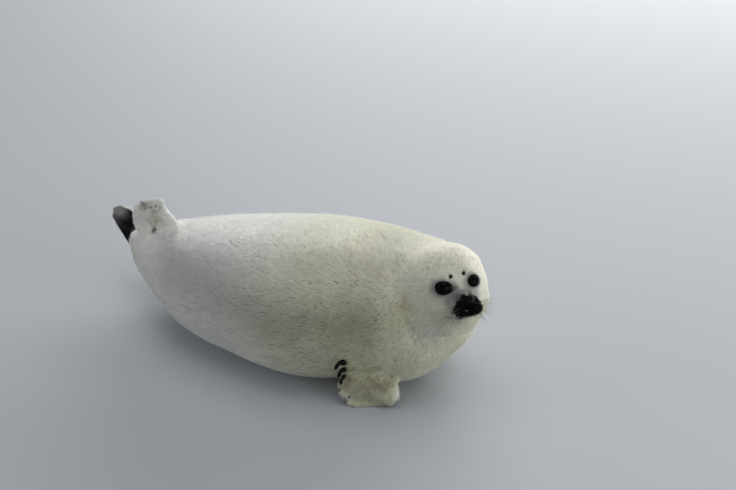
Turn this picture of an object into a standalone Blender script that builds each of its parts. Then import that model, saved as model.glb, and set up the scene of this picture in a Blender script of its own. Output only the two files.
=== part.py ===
"""A white-coated seal pup, life size, lying on its belly with its head raised and turned to its right.

Metres. +X runs along the body towards the head, +Y is the pup's left and +Z is up. The floor is z = 0.
The forms reach out to the tips of the coat. They are merged on a fine grid into one smooth body, which
is then parted by thin cuts into the head, muzzle, jaw, neck, chest, trunk and hindquarters. The flippers
and the tail are trimmed where they meet the body, and the eyes, nose and claws sit in sockets.
"""
import math

import bpy
import bmesh
import numpy as np
from mathutils import Euler, Matrix, Vector

# ---------------------------------------------------------------- driving dimensions
CUT_GAP = 0.0003          # between two nodes that meet
CUTTER_REACH = 2.0        # size of a cutter that takes everything on one side
BODY_VOXEL = 0.008        # grid on which the trunk and the head are merged
FACE_VOXEL = 0.004        # grid on which the face is merged with them
FLIPPER_VOXEL = 0.004
BODY_TRIANGLES = 2500     # whole body at the trunk's fineness
HEAD_TRIANGLES = 4700     # whole body at the head's fineness
FLIPPER_TRIANGLES = 325
BODY_SOFTNESS = 8         # smoothing passes after each merging
FACE_SOFTNESS = 6
FLIPPER_SOFTNESS = 4
TRUNK_RINGS, TRUNK_SIDES = 60, 48
HEAD_RINGS, HEAD_SIDES = 40, 40
SHARP_ANGLE = math.radians(50)

# Head: the centre of the skull with its coat, and where the face points
HEAD_CENTRE = Vector((0.307, 0.001, 0.2855))
HEAD_YAW = math.radians(-43.0)      # turned to the pup's right
HEAD_PITCH = math.radians(20.5)     # looking up
HEAD_ROLL = math.radians(1.5)

# The thin cut between head and neck stands square to this direction
NECK_YAW = math.radians(-24.0)
NECK_PITCH = math.radians(10.0)
NECK_BEHIND = 0.062                 # from the head's centre back to the cut
THROAT_BELOW = 0.082                # from the head's centre down to the cut

# Eyes, measured from the head's centre in the head's own axes
EYE_RADIUS = 0.0185
EYE_FORWARD = 0.0560
EYE_ASIDE = 0.0300
EYE_UP = 0.0118

# The trunk's stations, from the root of the tail to the throat:
# x, sideways shift, half width, height of the underside, height where it is widest, height of the back
TRUNK_STATIONS = (
    (-0.532, 0.045, 0.012, 0.116, 0.132, 0.151),
    (-0.500, 0.048, 0.048, 0.078, 0.122, 0.172),
    (-0.441, 0.045, 0.090, 0.044, 0.118, 0.194),
    (-0.324, 0.026, 0.149, 0.004, 0.128, 0.239),
    (-0.160, 0.013, 0.185, -0.012, 0.140, 0.292),
    (0.003, 0.015, 0.200, -0.016, 0.148, 0.328),
    (0.113, 0.030, 0.169, -0.014, 0.154, 0.339),
    (0.207, 0.034, 0.149, -0.004, 0.162, 0.341),
    (0.269, 0.042, 0.118, 0.028, 0.190, 0.337),
    (0.337, 0.068, 0.066, 0.108, 0.220, 0.308),
)
TRUNK_POWER = 2.15
TRUNK_CUTS = (0.205, 0.030, -0.270)     # x of the cuts between neck, chest, trunk and hindquarters

# The head's stations along the face's direction: forward, half width, half height, height of the middle
HEAD_STATIONS = (
    (-0.088, 0.020, 0.020, 0.000),
    (-0.074, 0.060, 0.058, 0.000),
    (-0.040, 0.085, 0.083, 0.000),
    (0.000, 0.090, 0.088, 0.000),
    (0.028, 0.083, 0.080, -0.002),
    (0.046, 0.070, 0.069, -0.006),
    (0.058, 0.057, 0.059, -0.011),
    (0.067, 0.046, 0.050, -0.016),
    (0.079, 0.039, 0.040, -0.022),
    (0.094, 0.033, 0.031, -0.028),
    (0.105, 0.014, 0.014, -0.028),
)

# Rounded forms of the face: centre (forward, aside, up) and half sizes; those aside are on both sides
CHEEK_FORMS = (
    ((0.029, 0.0350, -0.0390), (0.0430, 0.0440, 0.0420)),
    ((0.016, 0.0160, -0.0700), (0.0460, 0.0400, 0.0400)),  # the throat's fur under the jaw
    ((0.060, 0.0180, -0.0400), (0.0260, 0.0270, 0.0230)),  # from the cheek to the whisker pad
)
FACE_FORMS = (
    ((0.092, 0.0175, -0.0355), (0.0220, 0.0225, 0.0190)),  # whisker pads
    ((0.099, 0.0000, -0.0225), (0.0170, 0.0170, 0.0135)),  # bridge behind the nose
    ((0.074, 0.0000, -0.0560), (0.0240, 0.0200, 0.0140)),  # chin
    ((0.047, 0.0200, 0.0310), (0.0230, 0.0230, 0.0170)),   # brows
)
NOSE_CENTRE = Vector((0.1120, 0.000, -0.0225))
NOSE_HALF = Vector((0.0080, 0.0125, 0.0095))
MUZZLE_FROM = 0.0760      # forward of the head's centre
MOUTH_HEIGHT = -0.0500    # below the head's centre
JAW_FROM = 0.046
JAW_ASIDE = 0.034

# Flippers. Each has its own axes: from the wrist or ankle to the digits' tips, across from the last
# digit to the first, and out of its back. Lengths are in metres in those axes.
DIGITS = 5
FORE_WRIST = Vector((0.223, -0.096, 0.032))
FORE_YAW = math.radians(205.5)          # the hand points back along the flank
FORE_RISE = math.radians(16.5)          # and rises towards the digits
FORE_LEAN = math.radians(9.0)           # its upper edge leans in against the flank
FORE_LENGTHS = (0.106, 0.118, 0.124, 0.127, 0.131)      # first digit to fifth
FORE_SPREAD = 0.047                     # half the distance between the outer digits' tips
FORE_PALM = 0.014                       # and the same at the wrist
FORE_RADII = (0.0150, 0.0130, 0.0105)   # a digit with its fur: root, middle, tip
FORE_ELBOW = Vector((0.180, -0.060, 0.078))
FORE_LEG = (0.052, 0.042, 0.024)        # radii of the forearm in its fur
BODY_MIDDLE_Y = 0.036                   # the left flipper mirrors the right about this line

HIND_LEFT_LENGTHS = (0.094, 0.104, 0.109, 0.107, 0.100)
HIND_RIGHT_LENGTHS = (0.090, 0.098, 0.108, 0.115, 0.114)
HIND_LEFT_ANKLE = Vector((-0.536, 0.078, 0.105))
HIND_LEFT_AHEAD = Vector((-0.58, 0.12, 0.80))           # reaches back and up behind the rump
HIND_LEFT_BACK = Vector((-0.25, 0.95, -0.20))           # its sole faces the other flipper
HIND_LEFT_HIP = Vector((-0.480, 0.070, 0.110))
HIND_RIGHT_ANKLE = Vector((-0.472, 0.020, 0.190))
HIND_RIGHT_AHEAD = Vector((0.30, -0.02, 0.95))          # folded up over the rump
HIND_RIGHT_BACK = Vector((0.25, -0.95, 0.10))
HIND_RIGHT_HIP = Vector((-0.430, 0.014, 0.150))
# Fur that runs down from this flipper to the rump
HIND_RIDGE = ((-0.4345, 0.022, 0.260), (-0.4035, 0.028, 0.219), (-0.376, 0.034, 0.188))
HIND_RIDGE_RADII = (0.0195, 0.0215, 0.0225)
HIND_RIDGE_FLAT = 0.75
HIND_SPREAD = 0.022
HIND_PALM = 0.013
HIND_RADII = (0.0140, 0.0120, 0.0095)
HIND_LEG = (0.042, 0.034, 0.024)        # radii of the shank in its fur

# Claws: lengths from the first digit to the fifth, how far the point reaches past the digit's tip, the
# height of root and point above the digit's middle, and how far the point hooks towards the first digit.
# The hind ones lie on the back of the digit, short of its tip.
FORE_CLAW = {"longs": (0.018, 0.021, 0.026, 0.030, 0.034), "buried": 0.012, "lifts": (0.0045, 0.0150),
             "hook": 0.65}
HIND_CLAW = {"longs": (0.017,) * DIGITS, "buried": 0.035, "lifts": (0.0045, 0.0125), "hook": 0.0}
HOOK_SHORTENS = 0.45      # of its hook, a claw's reach ahead
CLAW_RADII = (0.0034, 0.0039, 0.0030, 0.0008)

TAIL_PATH = ((-0.470, 0.055, 0.135), (-0.492, 0.057, 0.160), (-0.503, 0.058, 0.186), (-0.507, 0.058, 0.206))
TAIL_RADII = (0.030, 0.023, 0.018, 0.009)
TAIL_FLAT = 0.50

# Colours: coat, bare sole, claw, eye, nose
COAT = (0.78, 0.77, 0.70)
SOLE = (0.035, 0.035, 0.038)
CLAW = (0.020, 0.018, 0.017)
EYE = (0.008, 0.006, 0.006)
NOSE = (0.015, 0.014, 0.015)


# ---------------------------------------------------------------- small tools
def smooth_between(knots, values, at):
    """Cubic Hermite through the knots, with the slope at each taken from its neighbours."""
    knots = np.asarray(knots, float)
    values = np.asarray(values, float)
    slopes = np.gradient(values, knots, axis=0)
    at = np.clip(np.atleast_1d(at), knots[0], knots[-1])
    k = np.clip(np.searchsorted(knots, at, side="right") - 1, 0, len(knots) - 2)
    step = knots[k + 1] - knots[k]
    t = (at - knots[k]) / step
    shape = (-1,) + (1,) * (values.ndim - 1)
    t, step = t.reshape(shape), step.reshape(shape)
    return ((2 * t**3 - 3 * t**2 + 1) * values[k] + (t**3 - 2 * t**2 + t) * step * slopes[k]
            + (3 * t**2 - 2 * t**3) * values[k + 1] + (t**3 - t**2) * step * slopes[k + 1])


def superellipse(angle, power):
    """Unit superellipse: (across, up) at an angle. Power 2 is a circle, more is squarer."""
    c, s = math.cos(angle), math.sin(angle)
    return (math.copysign(abs(c) ** (2 / power), c), math.copysign(abs(s) ** (2 / power), s))


def frame_at(origin, yaw, pitch, roll=0.0):
    """A frame whose X axis is turned by yaw about Z and raised by pitch."""
    turn = Euler((roll, -pitch, yaw), "XYZ").to_matrix().to_4x4()
    return Matrix.Translation(origin) @ turn


def new_object(name, mesh):
    obj = bpy.data.objects.new(name, mesh)
    bpy.context.scene.collection.objects.link(obj)
    return obj


def loft(name, rings):
    """A closed body through rings of equal point counts, capped at each end."""
    rings = [np.asarray(ring, float) for ring in rings]
    count = len(rings[0])
    verts = [tuple(point) for ring in rings for point in ring]
    faces = []
    for i in range(len(rings) - 1):
        a, b = i * count, (i + 1) * count
        for j in range(count):
            k = (j + 1) % count
            faces.append((a + j, a + k, b + k, b + j))
    first, last = len(verts), len(verts) + 1
    verts += [tuple(rings[0].mean(axis=0)), tuple(rings[-1].mean(axis=0))]
    end = (len(rings) - 1) * count
    for j in range(count):
        k = (j + 1) % count
        faces.append((first, k, j))
        faces.append((last, end + j, end + k))
    mesh = bpy.data.meshes.new(name)
    mesh.from_pydata(verts, [], faces)
    mesh.validate()
    bm = bmesh.new()
    bm.from_mesh(mesh)
    bmesh.ops.recalc_face_normals(bm, faces=bm.faces)
    bm.to_mesh(mesh)
    bm.free()
    return new_object(name, mesh)


def ellipsoid(name, frame, centre, half, segments=24, rings=14):
    bm = bmesh.new()
    bmesh.ops.create_uvsphere(bm, u_segments=segments, v_segments=rings, radius=1.0)
    placed = frame @ Matrix.Translation(centre) @ Matrix.Diagonal((*half, 1.0))
    bm.transform(placed)
    mesh = bpy.data.meshes.new(name)
    bm.to_mesh(mesh)
    bm.free()
    return new_object(name, mesh)


def block(name, frame, low, high):
    """A box between two corners of a frame."""
    low, high = Vector(low), Vector(high)
    bm = bmesh.new()
    bmesh.ops.create_cube(bm, size=1.0)
    bm.transform(frame @ Matrix.Translation((low + high) / 2) @ Matrix.Diagonal((*(high - low), 1.0)))
    mesh = bpy.data.meshes.new(name)
    bm.to_mesh(mesh)
    bm.free()
    return new_object(name, mesh)


def strand(name, path, radii, flat=1.0, across=None, sides=12, steps=14):
    """A limb's form: round rings along a smooth path, flattened square to the direction `across`."""
    path = np.asarray(path, float)
    along = np.linspace(0.0, 1.0, len(path))
    fine = np.linspace(0.0, 1.0, steps)
    middle = smooth_between(along, path, fine)
    radius = smooth_between(along, np.asarray(radii, float), fine)
    heading = np.gradient(middle, axis=0)
    rings = []
    for point, size, ahead in zip(middle, radius, heading):
        ahead = Vector(ahead).normalized()
        side = Vector(across) if across is not None else Vector((0, 0, 1))
        side = (side - ahead * side.dot(ahead)).normalized()
        face = ahead.cross(side)
        ring = []
        for j in range(sides):
            turn = 2 * math.pi * j / sides
            round_it = math.cos(turn) * side + flat * math.sin(turn) * face
            ring.append(Vector(point) + round_it * float(size))
        rings.append(ring)
    return loft(name, rings)


def evaluated(obj):
    """Replaces an object's mesh by what its modifiers make of it."""
    bpy.context.view_layer.update()
    graph = bpy.context.evaluated_depsgraph_get()
    mesh = bpy.data.meshes.new_from_object(obj.evaluated_get(graph))
    obj.modifiers.clear()
    obj.data = mesh
    return obj


def join(name, forms):
    """One mesh of several closed forms, which may run into each other."""
    bm = bmesh.new()
    for form in forms:
        bm.from_mesh(form.data)
        bpy.data.objects.remove(form)
    mesh = bpy.data.meshes.new(name)
    bm.to_mesh(mesh)
    bm.free()
    return new_object(name, mesh)


def merge(name, forms, voxel, softness):
    """One smooth closed skin round several forms."""
    obj = join(name, forms)
    grid = obj.modifiers.new("grid", "REMESH")
    grid.mode = "VOXEL"
    grid.voxel_size = voxel
    soften = obj.modifiers.new("soften", "SMOOTH")
    soften.factor = 0.5
    soften.iterations = softness
    return evaluated(obj)


def thinned(obj, name, triangles):
    """A copy with about so many triangles."""
    copy = new_object(name, obj.data.copy())
    copy.data.calc_loop_triangles()
    thin = copy.modifiers.new("thin", "DECIMATE")
    thin.ratio = min(1.0, triangles / len(copy.data.loop_triangles))
    return evaluated(copy)


def carve(obj, cutter, operation, solver="EXACT"):
    """Boolean of an object with a cutter, which stays as it is."""
    cut = obj.modifiers.new("cut", "BOOLEAN")
    cut.operation = operation
    cut.solver = solver
    cut.object = cutter
    return evaluated(obj)


def grown(obj, by=CUT_GAP):
    """A copy whose surface stands a little outside."""
    copy = new_object(obj.name + "_grown", obj.data.copy())
    swell = copy.modifiers.new("swell", "DISPLACE")
    swell.mid_level = 0.0
    swell.strength = by
    return evaluated(copy)


def trim(obj, grown_neighbours):
    """Keeps an object clear of its neighbours. Their swollen copies may graze themselves in creases."""
    for neighbour in grown_neighbours:
        carve(obj, neighbour, "DIFFERENCE", "MANIFOLD")


def copy_of(obj, name):
    return new_object(name, obj.data.copy())


# ---------------------------------------------------------------- the body's forms
def head_frame():
    """The head's own axes: X out of the face, Y to the pup's left, Z up."""
    return frame_at(HEAD_CENTRE, HEAD_YAW, HEAD_PITCH, HEAD_ROLL)


def trunk_form():
    table = np.array(TRUNK_STATIONS)
    rings = []
    for x in np.linspace(table[0, 0], table[-1, 0], TRUNK_RINGS):
        shift, half, low, widest, back = smooth_between(table[:, 0], table[:, 1:], x)[0]
        ring = []
        for j in range(TRUNK_SIDES):
            across, up = superellipse(2 * math.pi * j / TRUNK_SIDES, TRUNK_POWER)
            rise = (back - widest) if up > 0 else (widest - low)
            ring.append((x, shift + half * across, widest + rise * up))
        rings.append(ring)
    return loft("trunk_form", rings)


def head_form():
    table = np.array(HEAD_STATIONS)
    frame = head_frame()
    rings = []
    for x in np.linspace(table[0, 0], table[-1, 0], HEAD_RINGS):
        half, tall, middle = smooth_between(table[:, 0], table[:, 1:], x)[0]
        ring = []
        for j in range(HEAD_SIDES):
            turn = 2 * math.pi * j / HEAD_SIDES
            ring.append(frame @ Vector((x, half * math.cos(turn), middle + tall * math.sin(turn))))
        rings.append(ring)
    return loft("head_form", rings)


def rounded_forms(table):
    frame = head_frame()
    forms = []
    for centre, half in table:
        sides = (1, -1) if centre[1] else (1,)
        for side in sides:
            placed = (centre[0], side * centre[1], centre[2])
            forms.append(ellipsoid("face_form", frame, placed, half))
    return forms


def body_form():
    """Head and body as one skin, flat where it lies on the floor."""
    forms = [trunk_form(), head_form()] + rounded_forms(CHEEK_FORMS)
    soft = merge("soft_body", forms, BODY_VOXEL, BODY_SOFTNESS)
    return merge("body", [soft] + rounded_forms(FACE_FORMS), FACE_VOXEL, FACE_SOFTNESS)


def above_floor(obj):
    room = block("room", Matrix.Identity(4), (-CUTTER_REACH, -CUTTER_REACH, 0.0),
                 (CUTTER_REACH, CUTTER_REACH, CUTTER_REACH))
    carve(obj, room, "INTERSECT")
    bpy.data.objects.remove(room)
    return obj


# ---------------------------------------------------------------- flippers, claws and tail
def limb_axes(ahead, back):
    """Unit axes of a flipper: to the tips, from the last digit to the first, out of its back."""
    ahead = ahead.normalized()
    back = (back - ahead * back.dot(ahead)).normalized()
    return ahead, back.cross(ahead), back


def fore_axes():
    ahead = Vector((math.cos(FORE_YAW), math.sin(FORE_YAW), math.sin(FORE_RISE)))
    outward = Vector((-math.sin(FORE_YAW), math.cos(FORE_YAW), 0.0))
    return limb_axes(ahead, outward * math.cos(FORE_LEAN) + Vector((0, 0, math.sin(FORE_LEAN))))


def mirrored(point):
    return Vector((point[0], 2 * BODY_MIDDLE_Y - point[1], point[2]))


def limb_point(limb, along, across, out):
    ahead, side, back = limb["axes"]
    point = limb["root"] + ahead * along + side * across + back * out
    return mirrored(point) if limb["mirror"] else point


def limb_across(limb):
    side = limb["axes"][1]
    return Vector((side.x, -side.y, side.z)) if limb["mirror"] else side


def limbs():
    """The four flippers: where each starts, its axes and its sizes."""
    fore = {"root": FORE_WRIST, "axes": fore_axes(), "lengths": FORE_LENGTHS, "spread": FORE_SPREAD,
            "palm": FORE_PALM, "radii": FORE_RADII, "joint": FORE_ELBOW, "leg": FORE_LEG, "claw": FORE_CLAW}
    hind = {"spread": HIND_SPREAD, "palm": HIND_PALM, "radii": HIND_RADII,
            "leg": HIND_LEG, "claw": HIND_CLAW, "mirror": False}
    left = {"root": HIND_LEFT_ANKLE, "axes": limb_axes(HIND_LEFT_AHEAD, HIND_LEFT_BACK),
            "joint": HIND_LEFT_HIP, "lengths": HIND_LEFT_LENGTHS}
    right = {"root": HIND_RIGHT_ANKLE, "axes": limb_axes(HIND_RIGHT_AHEAD, HIND_RIGHT_BACK),
             "joint": HIND_RIGHT_HIP, "lengths": HIND_RIGHT_LENGTHS, "ridge": HIND_RIDGE}
    return {"fore_flipper_right": {**fore, "mirror": False},
            "fore_flipper_left": {**fore, "mirror": True},
            "hind_flipper_right": {**hind, **right},
            "hind_flipper_left": {**hind, **left}}


def digit_share(index):
    """+1 for the first digit, -1 for the last."""
    return 1.0 - 2.0 * index / (DIGITS - 1)


def flipper(name, limb):
    """Five digits in their web, the palm and the limb that carries it, as one form."""
    forms = []
    for index, length in enumerate(limb["lengths"]):
        share = digit_share(index)
        path = [limb_point(limb, 0.0, limb["palm"] * share, 0.0),
                limb_point(limb, 0.55 * length, 0.9 * limb["spread"] * share, 0.002),
                limb_point(limb, length - limb["radii"][2], limb["spread"] * share, 0.0)]
        forms.append(strand("digit", path, limb["radii"], across=limb_across(limb), flat=0.8))
    reach = min(limb["lengths"])
    web = [limb_point(limb, share * reach, 0.0, 0.0) for share in (-0.12, 0.25, 0.6, 0.9)]
    wide = limb["palm"] + limb["radii"][0]
    tip = limb["spread"] + 0.6 * limb["radii"][2]
    forms.append(strand("web", web, (0.8 * wide, wide, (wide + tip) / 2, 0.9 * tip),
                        across=limb_across(limb), flat=0.26, sides=20))
    joint = mirrored(limb["joint"]) if limb["mirror"] else limb["joint"]
    leg = [joint, (joint + limb_point(limb, 0, 0, 0)) / 2, limb_point(limb, 0.02, 0, 0)]
    forms.append(strand("leg", leg, limb["leg"], across=limb_across(limb), flat=0.7, sides=20))
    if "ridge" in limb:
        forms.append(strand("ridge", limb["ridge"], HIND_RIDGE_RADII, HIND_RIDGE_FLAT, limb_across(limb)))
    whole = merge("flipper_form", forms, FLIPPER_VOXEL, FLIPPER_SOFTNESS)
    thin = above_floor(thinned(whole, name, FLIPPER_TRIANGLES))
    bpy.data.objects.remove(whole)
    return thin


def claw(name, limb, index, grow=0.0):
    """A curved claw on the back of a digit. `grow` makes the cutter of its socket."""
    share = digit_share(index)
    shape = limb["claw"]
    long = shape["longs"][index]
    root_lift, tip_lift = shape["lifts"]
    start = limb["lengths"][index] - shape["buried"] - grow
    across = limb["spread"] * share
    fan = (limb["spread"] - limb["palm"]) * share / max(limb["lengths"])
    path = []
    for part in (0.0, 0.35, 0.7, 1.0):
        along = part * (long + 2 * grow)
        hook = shape["hook"] * part * along
        path.append(limb_point(limb, start + along - HOOK_SHORTENS * hook, across + fan * along + hook,
                               root_lift + (tip_lift - root_lift) * part**2))
    radii = [radius + grow for radius in CLAW_RADII]
    return strand(name, path, radii, flat=0.8, across=limb_across(limb), sides=6, steps=4)


def tail():
    return strand("tail", TAIL_PATH, TAIL_RADII, flat=TAIL_FLAT, across=(0, 1, 0), sides=14, steps=9)


# ---------------------------------------------------------------- parting the body into nodes
def neck_block(grow=0.0):
    """Everything of the head: in front of the neck's cut and above the throat's."""
    frame = frame_at(HEAD_CENTRE, NECK_YAW, NECK_PITCH)
    return block("neck_cutter", frame, (-NECK_BEHIND - grow, -0.3, -THROAT_BELOW - grow), (0.4, 0.3, 0.4))


def muzzle_block(grow=0.0):
    return block("muzzle_cutter", head_frame(), (MUZZLE_FROM - grow, -0.1, MOUTH_HEIGHT - grow),
                 (0.2, 0.1, 0.1))


def jaw_block(grow=0.0):
    return block("jaw_cutter", head_frame(), (JAW_FROM - grow, -JAW_ASIDE - grow, -0.2),
                 (0.2, JAW_ASIDE + grow, MOUTH_HEIGHT - CUT_GAP + grow))


def eye(name, side, grow=0.0):
    centre = (EYE_FORWARD, side * EYE_ASIDE, EYE_UP)
    radius = EYE_RADIUS + grow
    return ellipsoid(name, head_frame(), centre, (radius, radius, radius), segments=14, rings=8)


def nose(name, grow=0.0):
    half = NOSE_HALF + Vector((grow, grow, grow))
    return ellipsoid(name, head_frame(), NOSE_CENTRE, half, segments=14, rings=8)


def take(obj, cutter, operation="DIFFERENCE"):
    """Carves with a cutter that is used once."""
    carve(obj, cutter, operation)
    bpy.data.objects.remove(cutter)
    return obj


def part_head(fine):
    """The head's solid parted into head, muzzle and jaw, with sockets for the eyes and the nose."""
    head = take(fine, neck_block(), "INTERSECT")
    for side in (1, -1):
        take(head, eye("socket", side, CUT_GAP))
    take(head, nose("socket", CUT_GAP))
    muzzle = take(copy_of(head, "muzzle"), muzzle_block(), "INTERSECT")
    take(head, muzzle_block(CUT_GAP))
    jaw = take(copy_of(head, "lower_jaw"), jaw_block(), "INTERSECT")
    take(head, jaw_block(CUT_GAP))
    return [head, muzzle, jaw]


def part_trunk(body):
    """Neck, chest, trunk and hindquarters, in slabs along the body."""
    take(body, neck_block(CUT_GAP))
    edges = (CUTTER_REACH,) + TRUNK_CUTS + (-CUTTER_REACH,)
    nodes = []
    for name, front, back in zip(("neck", "chest", "trunk", "hindquarters"), edges[:-1], edges[1:]):
        slab = block("slab", Matrix.Identity(4), (back + CUT_GAP / 2, -CUTTER_REACH, -CUTTER_REACH),
                     (front - CUT_GAP / 2, CUTTER_REACH, CUTTER_REACH))
        nodes.append(take(copy_of(body, name), slab, "INTERSECT"))
    bpy.data.objects.remove(body)
    return nodes


def paint(obj, colour, roughness):
    material = bpy.data.materials.new(obj.name)
    material.use_nodes = True
    shader = material.node_tree.nodes["Principled BSDF"]
    shader.inputs["Base Color"].default_value = (*colour, 1.0)
    shader.inputs["Roughness"].default_value = roughness
    obj.data.materials.clear()
    obj.data.materials.append(material)


def finish(nodes):
    """Names, shading, materials and the collection; the origin goes under the middle of the pup."""
    collection = bpy.data.collections.new("seal_pup")
    bpy.context.scene.collection.children.link(collection)
    corners = [obj.matrix_world @ Vector(corner) for obj, _ in nodes for corner in obj.bound_box]
    low = [min(corner[axis] for corner in corners) for axis in range(3)]
    high = [max(corner[axis] for corner in corners) for axis in range(3)]
    shift = Vector((-(low[0] + high[0]) / 2, -(low[1] + high[1]) / 2, 0.0))
    for obj, (colour, roughness) in nodes:
        obj.data.transform(Matrix.Translation(shift))
        obj.data.name = obj.name
        obj.data.shade_smooth()
        obj.data.set_sharp_from_angle(angle=SHARP_ANGLE)
        paint(obj, colour, roughness)
        bpy.context.scene.collection.objects.unlink(obj)
        collection.objects.link(obj)


def main():
    for obj in list(bpy.data.objects):
        bpy.data.objects.remove(obj)
    coat, bare, horn = (COAT, 0.85), (SOLE, 0.6), (CLAW, 0.35)
    body = body_form()
    coarse = above_floor(thinned(body, "body_solid", BODY_TRIANGLES))
    fine = above_floor(thinned(body, "head", HEAD_TRIANGLES))
    bpy.data.objects.remove(body)
    nodes = []
    round_body = grown(coarse)
    kept_clear = [round_body]
    for name, limb in limbs().items():
        flesh = flipper(name, limb)
        trim(flesh, kept_clear)
        if name.startswith("hind"):
            kept_clear.append(grown(flesh))
        for index in range(DIGITS):
            socket = claw("socket", limb, index, CUT_GAP)
            trim(flesh, [socket])
            bpy.data.objects.remove(socket)
            nodes.append((claw(name.replace("flipper", "claw") + "_%d" % (index + 1), limb, index), horn))
        nodes.append((flesh, bare if name == "hind_flipper_left" else coat))
    tip = tail()
    trim(tip, kept_clear)
    nodes.append((tip, coat))
    nodes += [(node, coat) for node in part_trunk(coarse)]
    nodes += [(node, coat) for node in part_head(fine)]
    nodes += [(eye("eye_left", 1), (EYE, 0.05)), (eye("eye_right", -1), (EYE, 0.05))]
    nodes.append((nose("nose"), (NOSE, 0.4)))
    kept = {obj for obj, _ in nodes}
    for obj in list(bpy.data.objects):
        if obj not in kept:
            bpy.data.objects.remove(obj)
    finish(nodes)


main()
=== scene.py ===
import heapq
import math

import bmesh
import bpy
import numpy as np
from mathutils import Euler, Matrix, Vector
from mathutils.bvhtree import BVHTree
from mathutils.kdtree import KDTree


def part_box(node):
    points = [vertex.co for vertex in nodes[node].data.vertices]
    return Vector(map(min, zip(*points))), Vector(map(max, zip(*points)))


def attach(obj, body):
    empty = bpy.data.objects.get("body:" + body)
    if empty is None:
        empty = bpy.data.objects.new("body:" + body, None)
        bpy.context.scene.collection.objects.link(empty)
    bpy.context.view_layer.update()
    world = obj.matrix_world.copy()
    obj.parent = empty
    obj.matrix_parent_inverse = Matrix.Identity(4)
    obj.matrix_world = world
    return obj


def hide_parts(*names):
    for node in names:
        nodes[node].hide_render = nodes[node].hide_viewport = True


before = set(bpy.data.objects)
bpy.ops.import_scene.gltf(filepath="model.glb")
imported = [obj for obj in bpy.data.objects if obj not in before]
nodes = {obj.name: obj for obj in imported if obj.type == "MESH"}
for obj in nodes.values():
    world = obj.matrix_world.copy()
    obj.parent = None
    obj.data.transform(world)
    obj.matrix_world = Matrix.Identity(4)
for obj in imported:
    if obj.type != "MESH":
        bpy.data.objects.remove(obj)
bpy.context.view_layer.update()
random = np.random.default_rng(11)

# ---- camera: its place, aim and lens come from fits to the photo
CAMERA_PLACE = Vector((1.5244, -2.7062, 2.2869))
CAMERA_AIM = Vector((0.1320, 0.1500, 0.2028))
CAMERA_LENS, SENSOR_WIDTH, CLIP_END = 80.8, 36, 100

camera = bpy.data.objects.new("camera", bpy.data.cameras.new("camera"))
bpy.context.scene.collection.objects.link(camera)
camera.location = CAMERA_PLACE
camera.rotation_euler = (CAMERA_AIM - CAMERA_PLACE).to_track_quat("-Z", "Y").to_euler()
camera.data.lens = CAMERA_LENS
camera.data.sensor_width = SENSOR_WIDTH
camera.data.clip_end = CLIP_END
bpy.context.scene.camera = camera

# ---- the head's own axes, with the CAD's angles in degrees
HEAD_ROLL, HEAD_PITCH, HEAD_YAW = 1.5, -20.5, -43.0
HEAD_TURN = Euler([math.radians(angle) for angle in (HEAD_ROLL, HEAD_PITCH, HEAD_YAW)]).to_matrix()
EYE_AT = (0.0560, 0.0300, 0.0118)  # forward, aside, up of the left eye's centre
EYE_RADIUS = 0.0185
NOSE_AT = np.array((0.1120, 0.0, -0.0225))


def middle(node):
    low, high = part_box(node)
    return (low + high) / 2


between_eyes = (middle("eye_left") + middle("eye_right")) / 2
HEAD_CENTRE = np.array(between_eyes - HEAD_TURN @ Vector((EYE_AT[0], 0, EYE_AT[2])))
TURN = np.array(HEAD_TURN)  # columns are the head's forward, left and up


def to_head(points):
    return (np.asarray(points) - HEAD_CENTRE) @ TURN


def from_head(points):
    return np.asarray(points) @ TURN.T + HEAD_CENTRE


# ---- small helpers
def ramp(value, start, end):
    """0 before start, 1 after end, smooth between; start may be the larger one."""
    t = np.clip((value - start) / (end - start), 0, 1)
    return t * t * (3 - 2 * t)


def unit(vectors):
    return vectors / np.maximum(np.linalg.norm(vectors, axis=-1, keepdims=True), 1e-12)


def dot(a, b):
    return (a * b).sum(-1)


def mix(a, b, t):
    return a + (b - a) * np.asarray(t)[..., None]


LATTICE = np.random.default_rng(5).random((32, 32, 32))


def noise(points, size, offset=0.0):
    """Smooth noise from 0 to 1 whose bumps are about size metres across."""
    q = np.asarray(points) / size + 7.3 * offset + 100.0
    cell = np.floor(q).astype(int)
    f = q - cell
    f = f * f * (3 - 2 * f)
    total = 0.0
    for dx in (0, 1):
        for dy in (0, 1):
            for dz in (0, 1):
                corner = LATTICE[(cell[:, 0] + dx) % 32, (cell[:, 1] + dy) % 32, (cell[:, 2] + dz) % 32]
                weight = (f[:, 0] if dx else 1 - f[:, 0]) * (f[:, 1] if dy else 1 - f[:, 1])
                total = total + corner * weight * (f[:, 2] if dz else 1 - f[:, 2])
    return total


def read(items, what, width, kind=np.float32):
    """A row of width values for each of the items."""
    flat = np.empty(len(items) * width, kind)
    items.foreach_get(what, flat)
    return flat.reshape(-1, width)


def coordinates(mesh):
    return read(mesh.vertices, "co", 3).astype(float)


def vertex_normals(mesh):
    return read(mesh.vertex_normals, "vector", 3).astype(float)


def edges_of(mesh):
    return read(mesh.edges, "vertices", 2, np.int32)


def triangles_of(mesh):
    mesh.calc_loop_triangles()
    return read(mesh.loop_triangles, "vertices", 3, np.int32)


def stored(mesh, name):
    return read(mesh.attributes[name].data, "value", 1)[:, 0].astype(float)


def set_coordinates(mesh, points):
    mesh.vertices.foreach_set("co", np.asarray(points, np.float32).ravel())
    mesh.update()

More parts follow.
